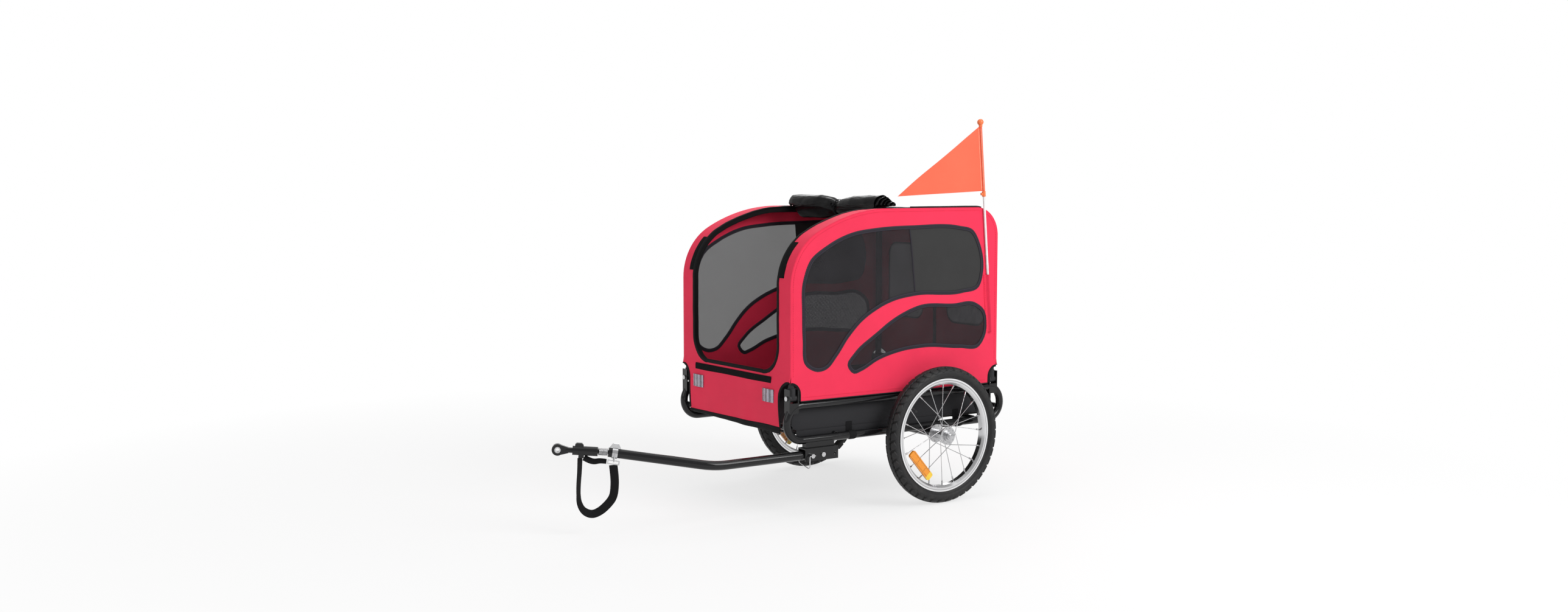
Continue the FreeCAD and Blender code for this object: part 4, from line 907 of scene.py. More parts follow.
class TRAILER_OT_side_panels(bpy.types.Operator):
    """Red side panels with their windows, bindings and seams"""

    bl_idname = "trailer.side_panels"
    bl_label = "Side panels"

    def execute(self, context):
        c = cabin()
        upper, lower = smooth_loop(UPPER_WINDOW), smooth_loop(LOWER_WINDOW)
        outline, front_arch, rear_arch = side_outline(c.thickness + 0.3)
        panel = cut_cloth(outline, (upper, lower))
        net = cut_cloth(clipped(upper, *CLOTH_LINE, False), step=16)
        blind = cut_cloth(clipped(upper, *CLOTH_LINE, True), step=16)
        vent = cut_cloth(lower, step=16)
        for side, sign in SIDES:
            body, hoop, surface = side + "_frame", side + "_hoop", side_surface(sign)
            behind = recessed(surface)
            made = sew(Shell(), panel, surface, c.thickness).piece(side + "_side_cloth", "red_cloth", body)
            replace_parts(declare_cut(made, [panel]), side + "_side_panel")
            nets = sew(sew(Shell(), net, behind, NET_THICKNESS), vent, behind, NET_THICKNESS)
            nets = nets.piece(side + "_window_mesh", "window_mesh", body)
            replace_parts(declare_cut(nets, [net, vent]), side + "_windows")
            cloth = sew(Shell(), blind, behind, BLIND_THICKNESS)
            cloth = cloth.piece(side + "_window_blind", "window_cloth", body)
            declare_cut(cloth, [blind])
            trim = Shell()
            for hole in (upper, lower):
                spots, normals = laid_line(hole, surface)
                lay_tape(trim, spots, normals, c.binding, 1.5, closed=True, lift=0.8)
                lay_tape(trim, spots, [-n for n in normals], c.binding, 1.2, closed=True, lift=0.8)
            lay_tape(trim, *laid_line(walk(CLOTH_LINE, 10), surface), 5.0, 1.0, lift=0.2)
            trim.piece(side + "_window_bindings", "binding", body)
            hem = Shell()
            front_foot, rear_foot = (Vector((end.x, c.side_edge)) for end in (front_arch[0], rear_arch[-1]))
            for line in ([front_foot, *front_arch], [*rear_arch, rear_foot]):
                lay_tape(hem, *laid_line(line, surface), 7.0, 1.4, lift=0.7)
            hem.piece(side + "_arch_bindings", "hem_tape", body)
            seams = Shell()
            low = walk([(y, c.side_edge + SEAM_IN) for y in (-c.front + 42, c.rear - 42)], 12)
            corner = [profile(run, SEAM_IN)[0] for run in np.linspace(0, profile_total(), 140)]
            for line in (low, corner):
                spots, normals = laid_line(line, surface)
                lay_stitches(seams, [s + n * 0.9 for s, n in zip(spots, normals)], normals)
            seams.piece(side + "_side_stitches", "thread", body)
        return {"FINISHED"}


def fold_with(made, sign, gathered_at=282.0):
    """Gives a soft piece its own copy of its mesh; the place where it would gather is worked out but not
    used.
    """
    anchor = place((sign * gathered_at, 0, HINGE_UP))
    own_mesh(made)
    return made


class TRAILER_OT_cover(bpy.types.Operator):
    """Front bands, roof and back, in two halves that meet at the middle"""

    bl_idname = "trailer.cover"
    bl_label = "Cover"

    def execute(self, context):
        c = cabin()
        top, end = run_on_roof(c.door_top), profile_total()
        middle, edge, half, bend = 0.4, c.half_width, c.door_half, c.door_corner
        door = arc((half - bend, bend), bend, 0, -90)
        outline = walk([(middle, end), (middle, top), (half, top)], 12)
        outline += walk([(half, top), door[0]], 12)[1:-1] + door
        outline += walk([door[-1], (edge, 0), (edge, end), (middle, end)], 12)[1:-1]
        left, right = REAR_INNER + REAR_CORNER, REAR_OUTER - REAR_CORNER
        first, last = end - REAR_HIGH + REAR_CORNER, end - REAR_LOW - REAR_CORNER
        corners = ((left, first, 180), (right, first, 270), (right, last, 0), (left, last, 90))
        window = [spot for across, run, turn in corners
                  for spot in arc((across, run), REAR_CORNER, turn, turn + 90, 10)]
        window = walk(window, closed=True)
        cut = cut_cloth(outline, (window,))
        pane = cut_cloth(window, step=16)
        for side, sign in SIDES:
            body = side + "_frame"
            surface = cover_surface(sign)
            made = sew(Shell(), cut, surface, c.thickness).piece(side + "_cover_cloth", "red_cloth", body)
            made.data.materials.append(finish_for("black_cloth"))
            roof_start, roof_end = (place((0, y, 0)).y for y in (c.door_top - 70, c.rear - c.rear_radius))
            for face in made.data.polygons:
                spot = face.center
                on_top = spot.z > (c.roof - 16) * MM and roof_start < spot.y < roof_end
                face.material_index = int(on_top and abs(spot.x) < (c.half_width - 9) * MM)
            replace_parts(declare_cut(made, [cut]), side + "_cover_wrap")
            fold_with(made, sign)
            net = sew(Shell(), pane, surface, NET_THICKNESS).piece(side + "_rear_mesh", "window_mesh", body)
            fold_with(declare_cut(net, [pane]), sign)

            def add(shell, name, finish_name):
                fold_with(shell.piece(name, finish_name, body), sign)

            trim = lay_tape(Shell(), *laid_line(window, surface), c.binding, 1.5, closed=True, lift=0.7)
            add(trim, side + "_cover_bindings", "binding")
            runs = np.linspace(run_on_roof(c.door_top + 14), run_on_roof(c.rear - c.rear_radius + 22), 44)
            piping = laid_line([(c.half_width - 8, run) for run in runs], surface)
            widths = [14 * min(1.0, 0.3 + i / 8, 0.3 + (43 - i) / 8) for i in range(44)]
            add(lay_tape(Shell(), *piping, widths, 5.2, lift=0.4), side + "_roof_welt", "hem_tape")
            doorway = [(half, run) for run in np.linspace(top - 8, bend, 60)]
            spots, normals = laid_line(doorway + door, surface)
            add(lay_door_tape(spots, normals), side + "_zip_tape", "zip_tape")
            if side == "right":
                spots, normals = laid_line([(0, run) for run in np.linspace(top + 2, end - 2, 90)], surface)
                zip_fastener = lay_tape(Shell(), spots, normals, 16.0, 1.5, lift=0.7)
                lay_tape(zip_fastener, spots, [-n for n in normals], 16.0, 1.0, lift=0.7)
                for spot, normal in zip(spots[44:], normals[44:]):
                    axes = (LEFT, LEFT.cross(normal), normal)
                    lay_box(zip_fastener, spot + normal * 2.3, (2.2, 2.6, 0.5), axes)
                add(zip_fastener, "middle_zip", "zip_tape")
            patch = laid_line([(half + 15, run) for run in np.linspace(263, 372, 14)], surface)
            add(lay_tape(Shell(), *patch, 24.0, 1.6, lift=0.6), side + "_door_tab", "hook_tape")
        return {"FINISHED"}


def lay_door_tape(line, normals):
    """The tape along the doorway's edge, with a flap that goes in from it and faces the doorway."""
    c = cabin()
    tape = lay_tape(Shell(), line, normals, c.zip_tape, 2.0, lift=0.5)
    doorway = Vector((0, -c.front, 560))
    faces = [way.cross(normal).normalized() for way, normal in zip(ways(line), normals)]
    faces = [face if face.dot(doorway - spot) > 0 else -face for face, spot in zip(faces, line)]
    return lay_tape(tape, [p - n * (c.flap / 2) for p, n in zip(line, normals)], faces, c.flap, 1.4)


SKIRT_ARCH = 46.0


def skirt_outline():
    """An end panel's edge, and the line of the binding on its left arch."""
    c = cabin()
    edge = c.half_width - SKIRT_ARCH
    arch = [Vector((p.x, HINGE_UP + (p.y - HINGE_UP) * 0.95))
            for p in arc((c.half_width, HINGE_UP), SKIRT_ARCH, 90.3, 180)]
    right = [Vector((c.half_width - 0.2, c.sill)), *arch, Vector((edge, c.skirt))]
    left = [Vector((-p.x, p.y)) for p in reversed(right)]
    return walk(right + left, 11, closed=True), [*arch, Vector((edge, c.skirt + 4))]


class TRAILER_OT_end_panels(bpy.types.Operator):
    """Low front and rear panels with their bindings, closing strip and sill tape"""

    bl_idname = "trailer.end_panels"
    bl_label = "End panels"

    def execute(self, context):
        c = cabin()
        outline, arch = skirt_outline()
        cut = cut_cloth(outline)
        for name, face, outward in (("front", SKIRT_IN - c.front, -1), ("rear", c.rear - SKIRT_IN, 1)):
            surface = skirt_surface(face, outward)
            made = sew(Shell(), cut, surface, c.thickness).piece(name + "_panel_cloth", "red_cloth", "base")
            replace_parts(declare_cut(made, [cut]), name + "_skirt")
            trim = Shell()
            for sign in (1, -1):
                line = walk([Vector((sign * p.x, p.y)) for p in arch], 8)
                widths = [min(8.0, 3.0 + 1.7 * i) for i in range(len(line))]
                lay_tape(trim, *laid_line(line, surface), widths, 1.6, lift=0.7)
            wide = c.half_width - SKIRT_ARCH
            hem = [(x, c.skirt - 3 + 2 * ripple(x, 0, 110, 4)) for x in np.linspace(-wide, wide, 60)]
            lay_tape(trim, *laid_line(hem, surface), np.linspace(9, 21, 60), 2.4, lift=0.6)
            trim.piece(name + "_panel_bindings", "hem_tape", "base")
        surface = skirt_surface(SKIRT_IN - c.front, -1)
        strip = laid_line([(x, 372.0) for x in np.linspace(-206, 194, 50)], surface)
        lay_tape(Shell(), *strip, 22.0, 1.5, lift=0.7).piece("sill_strip", "hook_tape", "base")
        flat = c.door_half - c.door_corner
        sill = laid_line([(x, c.sill + 1) for x in np.linspace(-flat, flat, 40)], surface)
        lay_door_tape(*sill).piece("sill_tape", "zip_tape", "base")
        return {"FINISHED"}


# The tray: its floor, its rails, how far it goes over them, its walls, its corners and its ends
TRAY_LOW, TRAY_RAIL, TRAY_REACH, TRAY_WALL, TRAY_CORNER = 233.1, 321.7, 284.0, 260.5, 9.0
TRAY_FRONT, TRAY_REAR = -455.0, 215.0

# The lower rails that the tray's straps go round
RAIL_X, RAIL_UP, STRAP_RADIUS, STRAP_WIDTH = 272.8, 214.0, 11.9, 22.0


def tray_wall(sign, out, billow=0.0):
    """The plane of the tray's wall, or one outside it, with a little billow."""
    def at(along, up):
        x = TRAY_WALL + out + billow * ripple(along, up, 30, 12)
        return Vector((sign * x, along, up)), LEFT * sign

    return at


class TRAILER_OT_tray(bpy.types.Operator):
    """Black tray between the side loops, and the straps that hold it down"""

    bl_idname = "trailer.tray"
    bl_label = "Tray"

    def execute(self, context):
        low, rail, wall, corner = TRAY_LOW, TRAY_RAIL, TRAY_WALL, TRAY_CORNER
        half = [Vector(p) for p in ((TRAY_REACH, rail), (wall + 5, rail), (wall + 1.5, rail - 1.5),
                                    (wall, rail - 5), (wall, low + corner))]
        half += arc((wall - corner, low + corner), corner, 0, -90, 3)[1:]
        section = walk(half + [Vector((-p.x, p.y)) for p in reversed(half)], 14)
        rows = np.linspace(TRAY_FRONT, TRAY_REAR, 59)
        points, flat = [], []
        for layer in (0.8, -0.8):
            for y in rows:
                for k, (spot, way) in enumerate(zip(section, ways(section))):
                    out = layer + 0.99 * abs(way.y) * ripple(y, spot.y, 75, 11)
                    points.append(Vector((spot.x - way.y * out, y, spot.y + way.x * out)))
                    flat.append((y, k * 14.0))
        shell = Shell().add(points, sheet_faces(len(rows), len(section)), flat)
        made = shell.piece("tray_cloth", "tray_cloth", "base")
        around = sum((b - a).length for a, b in zip(section, section[1:]))
        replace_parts(made, "floor_tray")

        def hang(name, edge, step, surface, thickness):
            cut = cut_cloth(walk(edge, step, closed=True), step=9)
            flap = sew(Shell(), cut, surface, thickness).piece(name, "tray_cloth", "base")
            declare_cut(flap, [cut])

        for side, sign in SIDES:
            for name, start, reach in (("front", TRAY_FRONT, -16.0), ("rear", TRAY_REAR, 34.0)):
                bend, turn = min(abs(reach), 30.0), math.copysign(1, reach)
                nose = arc((0, rail - 6 - bend), bend, 90, 0, 5) + arc((0, low + 8 + bend), bend, 0, -90, 5)
                edge = [(start + reach + turn * (p.x - bend), p.y) for p in nose]
                edge = [(start, rail - 6), *edge, (start, low + 8)]
                hang(f"{side}_{name}_gusset", edge, 8, tray_wall(sign, 0.0, 0.9), 1.4)
        for side, sign in SIDES:
            edge = [(along, low + up) for along, up in (
                (TRAY_FRONT, 5), (50, 5), (62, -3), (40, -12), (TRAY_FRONT, -12))]
            hang(side + "_tray_valance", edge, 10, tray_wall(sign, 0.5), 1.0)
        straps = Shell()
        for y in (-278.0, 110.0):
            for sign in (1, -1):
                lay_band(straps, Vector((sign * RAIL_X, y, RAIL_UP)), LEFT * (sign * STRAP_RADIUS),
                         UP * STRAP_RADIUS, STRAP_WIDTH, 0.9, 28)
                tab = walk([(sign * 262.2, y, 219), (sign * 262.0, y, 250)], 6)
                lay_tape(straps, tab, [LEFT * sign] * len(tab), STRAP_WIDTH, 1.0)
        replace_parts(straps.piece("tray_strap_webbing", "webbing", "base"), "tray_straps")
        return {"FINISHED"}


# The roll on each side, as (distance from the middle, radius, height of its centre)
ROLL_STATIONS = {
    "left": ((2, 22, 838), (28, 27.5, 842), (82, 32, 846), (156, 33, 847), (190, 30.5, 849),
             (206, 28.5, 851.5), (264, 28, 852)),
    "right": ((2, 22, 838), (28, 28, 842), (82, 33, 846), (156, 33.5, 846.5), (205, 33, 846.5),
              (226, 30, 848), (238, 25, 850)),
}
ROLL_SPREAD = {"left": 66.0, "right": 10.0}
ROLL_TURNS, ROLL_Y, ROLL_REST = 5.6, -120.0, 842.0
ROLL_GATHERED, ROLL_KEEP = 312.0, 0.055
TIE_UP, TIE_RADIUS = 838.0, 23.4


def roll_point(along, turn, side, sign):
    """A place on the rolled sheet; turn counts the windings from the inside, which come further out."""
    xs, radii, heights = zip(*ROLL_STATIONS[side])
    depth = turn / ROLL_TURNS
    x = along * (1 - ROLL_SPREAD[side] * depth / xs[-1])
    radius, height = float(np.interp(x, xs, radii)), float(np.interp(x, xs, heights))
    angle = 2 * math.pi * turn - 4.5
    share = 0.16 + 0.84 * depth
    tied, mouth = math.exp(-x / 32), math.exp(-(xs[-1] - along) / 30)
    round_way = Vector((math.cos(angle), math.sin(angle)))
    creases = 1.6 * ripple(x * 0.012 + round_way.x * 1.1 + 9 * sign, round_way.y * 1.1, 1, 6)
    sharp = ripple(x * 0.009 + round_way.x * 1.5 + 5 * sign, round_way.y * 1.5, 1, 9)
    creases -= 1.1 * max(0.0, 1 - 6 * abs(sharp))
    creases += tied * 1.3 * math.sin(9 * angle + 0.6 * math.sin(x / 20))
    reach = (radius + creases - 1.0) * share
    out, up = reach * math.cos(angle), reach * math.sin(angle)
    on_roof = unit((x - 186) / 22)
    if up < 0:
        hung = 1 + 0.3 * (1 - tied)
        up *= hung + on_roof * ((height - ROLL_REST) / radius - hung)
    sunk = on_roof * (1 - depth) * (height - ROLL_REST - 3) * 0.6
    slant = mouth * (0.1 * up + 2.0 * math.sin(turn * 2.2))
    return Vector((sign * (x + slant), ROLL_Y + out, height + up - sunk))


class TRAILER_OT_roll(bpy.types.Operator):
    """The front cover, rolled up on the roof and tied at its middle"""

    bl_idname = "trailer.roll"
    bl_label = "Rolled cover"

    def execute(self, context):
        turns = np.linspace(0, ROLL_TURNS, int(ROLL_TURNS * 44))
        for side, sign in SIDES:
            along = np.linspace(2, ROLL_STATIONS[side][-1][0], 58)
            middle = [[roll_point(x, turn, side, sign) for turn in turns] for x in along]
            points, flat = [], []
            for layer in (0.45, -0.45):
                for x, row in zip(along, middle):
                    for turn, spot, way in zip(turns, row, ways(row)):
                        points.append(spot + Vector((0, way.z, -way.y)).normalized() * layer)
                        flat.append((x, 9.0 * turn * (1 + turn)))
            shell = Shell().add(points, sheet_faces(len(along), len(turns)), flat)
            made = shell.piece(side + "_roll_vinyl", "rolled_vinyl", side + "_frame")
            steps = [(b - a).length for a, b in zip(middle[30], middle[30][1:])]
            area = sum(step * abs(low.x - high.x) for step, low, high in zip(steps, middle[0], middle[-1]))
            area * MM * MM
            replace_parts(made, side + "_roll")
            fold_with(made, sign, ROLL_GATHERED)
        tie = Shell()
        lay_band(tie, Vector((0, ROLL_Y, TIE_UP)), REARWARD * TIE_RADIUS, UP * TIE_RADIUS, 9.0, 1.4, 40)
        knot = Vector((-3, ROLL_Y - 23, 847))
        for turn in (0.0, 1.1, 2.2):
            loop = [knot + Vector((5 * math.cos(a), -2 + 2.5 * math.sin(a + turn), 6 * math.sin(a)))
                    for a in round_angles(16)]
            lay_tube(tie, loop, 1.7, 8, closed=True)
        lay_band(tie, Vector((-238, ROLL_Y - 6, 854)), Vector((-7, 0, -4)), Vector((0, 4, 12)), 7.0, 1.0, 26)
        made = tie.piece("roll_tie_webbing", "webbing", "right_frame")
        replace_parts(made, "roll_tie")
        fold_with(made, -1, ROLL_GATHERED)
        return {"FINISHED"}


POLE_X = 287.4
POLE_FOOT, POLE_TOP = Vector((POLE_X, 221.0, 478.0)), Vector((POLE_X, 173.0, 1084.0))
POLE_WAY = (POLE_TOP - POLE_FOOT).normalized()
FLAG_LOW, FLAG_HIGH, FLAG_TIP, FLAG_GATHERED = 887.0, 1076.0, (-132.0, 873.0), 838.0

# The pole's rod, the ball's collar and the clip, as (height, radius)
ROD = ((478, 2.0), (479.5, 3.0), (484, 3.5), (660, 3.5), (661, 3.7), (662.2, 3.8), (676, 3.8), (677.2, 3.7),
       (678, 3.5), (884, 3.5), (1080, 3.5), (1083, 3.2), (1084, 2.6))
COLLAR = ((1072, 5.0), *((up, 5.4) for up in range(1073, 1079)), (1079, 5.2))
CLIP = ((870.7, 4.6), (871.5, 5.8), (875, 5.4), (882, 5.4), (885.8, 5.8), (886.6, 4.6))
BALL_UP, BALL_RADIUS = 1085.5, 9.5

# The pole's pocket: ahead of the pole, behind it, and its two ends
POCKET_FORE, POCKET_AFT, POCKET_LOW, POCKET_HIGH = 15.0, 6.0, 474.0, 643.0


def on_pole(up):
    return POLE_FOOT.lerp(POLE_TOP, (up - POLE_FOOT.z) / (POLE_TOP.z - POLE_FOOT.z))


def lay_on_pole(shell, rings, sides):
    heights, radii = zip(*rings)
    return lay_tube(shell, [on_pole(up) for up in heights], radii, sides)


def flag_surface(along, up):
    away = max(0.0, (on_pole(up).y - along) / 300)
    wave = away * (3.5 * math.sin(along / 42 + up / 160) + 1.5 * ripple(along, up, 60, 8))
    return Vector((POLE_X + wave, along, up)), LEFT


def pocket_surface(across, up):
    spot = on_pole(up)
    base = side_surface(1)(spot.y + across, up)[0]
    swell = 9.6 * math.exp(-(across / 4.6) ** 4)
    return Vector((base.x + 1.5 + swell, spot.y + across, up)), LEFT


def gather_on_pole(made, anchor, keep):
    """Gives a flag piece its own copy of its mesh; the anchor is worked out but not used."""
    place(anchor)
    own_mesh(made)


class TRAILER_OT_flag(bpy.types.Operator):
    """Safety flag on its pole, with the pocket that holds it"""

    bl_idname = "trailer.flag"
    bl_label = "Flag"

    def execute(self, context):
        above_roof = (on_pole(FLAG_GATHERED), 0.055)
        corners = [(on_pole(up).y, on_pole(up).z) for up in (FLAG_HIGH, FLAG_LOW)] + [FLAG_TIP]
        cut = cut_cloth(walk(corners, 9, closed=True), step=10)
        shell = sew(Shell(), cut, flag_surface, 0.5)
        lay_on_pole(shell, [(up, 4.3) for up in np.linspace(FLAG_LOW, FLAG_HIGH, 20)], 16)
        made = shell.piece("flag_cloth", "flag_cloth", "flag_set")
        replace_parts(declare_cut(made, [cut]), "flag")
        gather_on_pole(made, *above_roof)
        welts = Shell()
        for back, face in ((8.0, 0.4), (2.4, 3.9)):
            line = [flag_surface(on_pole(up).y - back, up)[0] for up in np.linspace(889, 1066, 30)]
            for side in (LEFT, -LEFT):
                lay_tape(welts, [p + side * face for p in line], [side] * 30, 1.5, 0.5)
        gather_on_pole(welts.piece("flag_welts", "flag_thread", "flag_set"), *above_roof)
        angles = np.linspace(0.02, math.pi - 0.02, 22)
        knob = lay_tube(Shell(), [on_pole(BALL_UP) - POLE_WAY * (BALL_RADIUS * math.cos(a)) for a in angles],
                        [BALL_RADIUS * math.sin(a) for a in angles], 28)
        lay_on_pole(knob, COLLAR, 20)
        clip = lay_on_pole(Shell(), CLIP, 22)
        lay_box(clip, on_pole(878) - REARWARD * 7, (2.2, 4.0, 3.5), (LEFT, REARWARD, POLE_WAY))
        for shell, name, finish_name, node, gathered in (
                (lay_on_pole(Shell(), ROD, 18), "pole_rod", "white_rod", "flag_pole", (POLE_FOOT, 0.605)),
                (knob, "pole_knob", "orange_ball", "pole_ball", above_roof),
                (clip, "pole_clip", "orange_ball", "flag_clip", above_roof)):
            made = shell.piece(name, finish_name, "flag_set")
            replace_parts(made, node)
            gather_on_pole(made, *gathered)
        fore, aft, low, high = -POCKET_FORE, POCKET_AFT, POCKET_LOW, POCKET_HIGH
        edge = walk([(fore, low), (aft, low), (aft, high), (fore, high)], 4, closed=True)
        shell = sew(Shell(), cut_cloth(edge, step=3.5), pocket_surface, 1.2)
        made = shell.piece("pocket_cloth", "red_cloth", "left_frame")
        line = laid_line([(across, 560) for across in np.linspace(fore, aft, 40)], pocket_surface)[0]
        wide = sum((b - a).length for a, b in zip(line, line[1:]))
        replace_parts(made, "flag_pocket")
        seams = Shell()
        for across in (fore + 3, aft - 1.5):
            line = [pocket_surface(across, up)[0] + LEFT * 0.9 for up in np.linspace(478, 640, 30)]
            lay_stitches(seams, line, [LEFT] * 30)
        seams.piece("pocket_stitches", "thread", "left_frame")
        return {"FINISHED"}


TOW_YAW, BAR_PITCH, COUPLER_PITCH = math.radians(26.0), math.radians(9.3), math.radians(4.5)
TOW_ALONG = Vector((-math.sin(TOW_YAW), -math.cos(TOW_YAW), 0))
TOW_ACROSS = Vector((math.cos(TOW_YAW), -math.sin(TOW_YAW), 0))
TOW_BEND = Vector((273.0, -722.0, 172.0))
BAR_ALONG = TOW_ALONG * math.cos(BAR_PITCH) + UP * math.sin(BAR_PITCH)
BAR_END = TOW_BEND + BAR_ALONG * 280.0
COUPLER_ALONG = TOW_ALONG * math.cos(COUPLER_PITCH) + UP * math.sin(COUPLER_PITCH)
COUPLER_UP = UP * math.cos(COUPLER_PITCH) - TOW_ALONG * math.sin(COUPLER_PITCH)

# The strap's route, as distances along the tow bar's front run and heights
STRAP_ROUTE = ((349, 205), (350, 172), (353, 140), (354, 112), (353, 86), (342, 64), (320, 54), (298, 63),
               (279, 80), (265, 98), (261, 120), (260, 150), (264, 183.5))
TAIL_ROUTE = ((339, 205), (326, 197), (312, 193), (297, 196), (281.2, 193))

# The strap's turn in degrees at each share of its length
STRAP_TURNS = ((0.0, 34), (0.24, 28), (0.38, 40), (0.47, 58), (0.56, 66), (0.66, 80), (0.8, 74), (1.0, 84))
SPRING_TURNS, SPRING_STEPS, SPRING_RADIUS, SPRING_SEAT, SPRING_LENGTH = 8, 28, 8.8, 1.6, 27.0


def smooth_line(route):
    """Points along the smooth curve that a route of points steers."""
    points = [place(TOW_BEND + TOW_ALONG * along + UP * (up - TOW_BEND.z)) for along, up in route]
    curve = bpy.data.curves.new("route", "CURVE")
    curve.dimensions = "3D"
    spline = curve.splines.new("NURBS")
    spline.points.add(len(points) - 1)
    for spot, point in zip(spline.points, points):
        spot.co = (*point, 1.0)
    spline.order_u = 3
    spline.use_endpoint_u = True
    spline.resolution_u = 12
    holder = bpy.data.objects.new("route", curve)
    bpy.context.scene.collection.objects.link(holder)
    bpy.context.view_layer.update()
    mesh = bpy.data.meshes.new_from_object(holder.evaluated_get(bpy.context.evaluated_depsgraph_get()))
    line = [v.co.copy() for v in mesh.vertices]
    bpy.data.objects.remove(holder)
    bpy.data.curves.remove(curve)
    bpy.data.meshes.remove(mesh)
    return [Vector((p.x / MM, (p.y - AXLE.y) / MM, p.z / MM)) for p in line]


def lay_webbing(shell, line, width, thickness, twist):
    """A flat strap along a line; twist gives its turn, in degrees, at each share of the way."""
    steps, count = 6, len(line)
    points, flat, run = [], [], 0.0
    for i, (spot, way) in enumerate(zip(line, ways(line))):
        angle = math.radians(twist(i / (count - 1)))
        wide = TOW_ACROSS * math.cos(angle) + way.cross(TOW_ACROSS).normalized() * math.sin(angle)
        thick = wide.cross(way).normalized() * (thickness / 2)
        run += (spot - line[i - 1]).length if i else 0.0
        for sign in (1, -1):
            for j in range(steps + 1):
                t = (2 * j / steps - 1) * sign
                points.append(spot + wide * (t * width / 2) + thick * (sign * (1 - 0.5 * t ** 6)))
                flat.append((run, t * width / 2))
    return shell.add(points, tube_faces(count, 2 * (steps + 1)), flat)


class TRAILER_OT_straps(bpy.types.Operator):
    """Safety strap that hangs under the coupler, and its short tail"""

    bl_idname = "trailer.straps"
    bl_label = "Safety strap"

    def execute(self, context):
        bend = [place(TOW_BEND + TOW_ALONG * along + UP * 40) for along in (272, 338)]
        line = smooth_line(STRAP_ROUTE)
        shares, angles = zip(*STRAP_TURNS)
        strap = lay_webbing(Shell(), line, 22.0, 1.8, lambda share: float(np.interp(share, shares, angles)))
        strap = strap.piece("strap_webbing", "webbing")
        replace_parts(strap, "safety_strap")
        tail = lay_webbing(Shell(), smooth_line(TAIL_ROUTE), 16.0, 1.8, lambda share: 70 - 30 * share)
        tail = tail.piece("tail_webbing", "webbing")
        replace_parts(tail, "strap_tail")
        for made in (strap, tail):
            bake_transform(made)
        place(line[0])
        [place(p) for p in line]
        return {"FINISHED"}


class TRAILER_OT_spring(bpy.types.Operator):
    """Coil spring between the tow bar and the coupler, with its core"""

    bl_idname = "trailer.spring"
    bl_label = "Coupler spring"

    def execute(self, context):
        coil = []
        for share in np.linspace(0, 1, SPRING_TURNS * SPRING_STEPS + 1):
            angle = 2 * math.pi * SPRING_TURNS * share
            arm = COUPLER_UP * math.cos(angle) + TOW_ACROSS * math.sin(angle)
            rise = SPRING_SEAT + (SPRING_LENGTH - 2 * SPRING_SEAT) * share
            coil.append(BAR_END + COUPLER_ALONG * rise + arm * SPRING_RADIUS)
        spring = lay_tube(Shell(), coil, 1.1, 10).piece("spring_wire", "bright_steel")
        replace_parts(spring, "coupler_spring")
        line = [BAR_END - BAR_ALONG * back for back in (12, 6, 0)]
        line += [BAR_END + COUPLER_ALONG * (3 * i + 3) for i in range(12)]
        core = lay_tube(Shell(), line, 5.4, 16).piece("spring_core", "black_plastic")
        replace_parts(core, "coupler_core")
        for made in (spring, core):
            place(BAR_END)
            place(BAR_END + COUPLER_ALONG * SPRING_LENGTH)
            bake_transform(made)
        return {"FINISHED"}


TREAD_DEPTH, TYRE_CROWN, BLOCK_STEPS, VALVE_TURN = 3.2, 178.0, 14, math.radians(142.0)

# The tyre's bead and inside as (across, radius), and the valve's stem as (distance from the axle, radius)
BEAD = ((12.1, 162.4), (12.1, 153.0), (9.0, 153.0), (9.0, 162.5), (16.5, 174.0), (15.0, 184.0), (0.0, 188.0))
VALVE = ((152, 4.2), (146, 4.0), (144.5, 3.2), (143, 2.6), (130, 2.6), (128, 2.6), (127.6, 3.4), (119, 3.4),
         (118, 2.4))


def tread_height(steep, block):
    """How far the tread stands up at some degrees from the crown and at a share of a block round the tyre."""
    peak = 1 - abs(2 * block - 1)
    lean = (block + (steep - 40) * 0.006) % 1.0
    edge = unit((50 + 26 * peak - steep) / 2)
    gap = unit((min(lean, 1 - lean) - 0.09) * 40)
    inner = unit((steep - 24) / 2)
    rib = unit((13 + 6 * abs(((2 * block) % 1.0) * 2 - 1) - steep) / 2)
    return TREAD_DEPTH * max(edge * gap * inner, rib)


def tyre_spot(steep, block, wheel):
    """A place on the tyre's outside: across, radius, and the tread's height, which sets the painted shade
    between the blocks.
    """
    off, lean = abs(steep), math.radians(steep)
    height = tread_height(off, (block + (0.5 if steep < 0 else 0.0)) % 1.0) if off < 80 else 0
    ring = 0.7 * math.exp(-((off - 112) / 3) ** 2) + 0.5 * math.exp(-((off - 84) / 2) ** 2)
    wall = wheel.radius - TYRE_CROWN - TREAD_DEPTH
    across = (wheel.width / 2 + height * 0.6 + ring) * math.sin(lean)
    radius = TYRE_CROWN + (wall + height) * math.cos(lean)
    return across, radius, max(height, unit((off - 50) / 26) * TREAD_DEPTH)


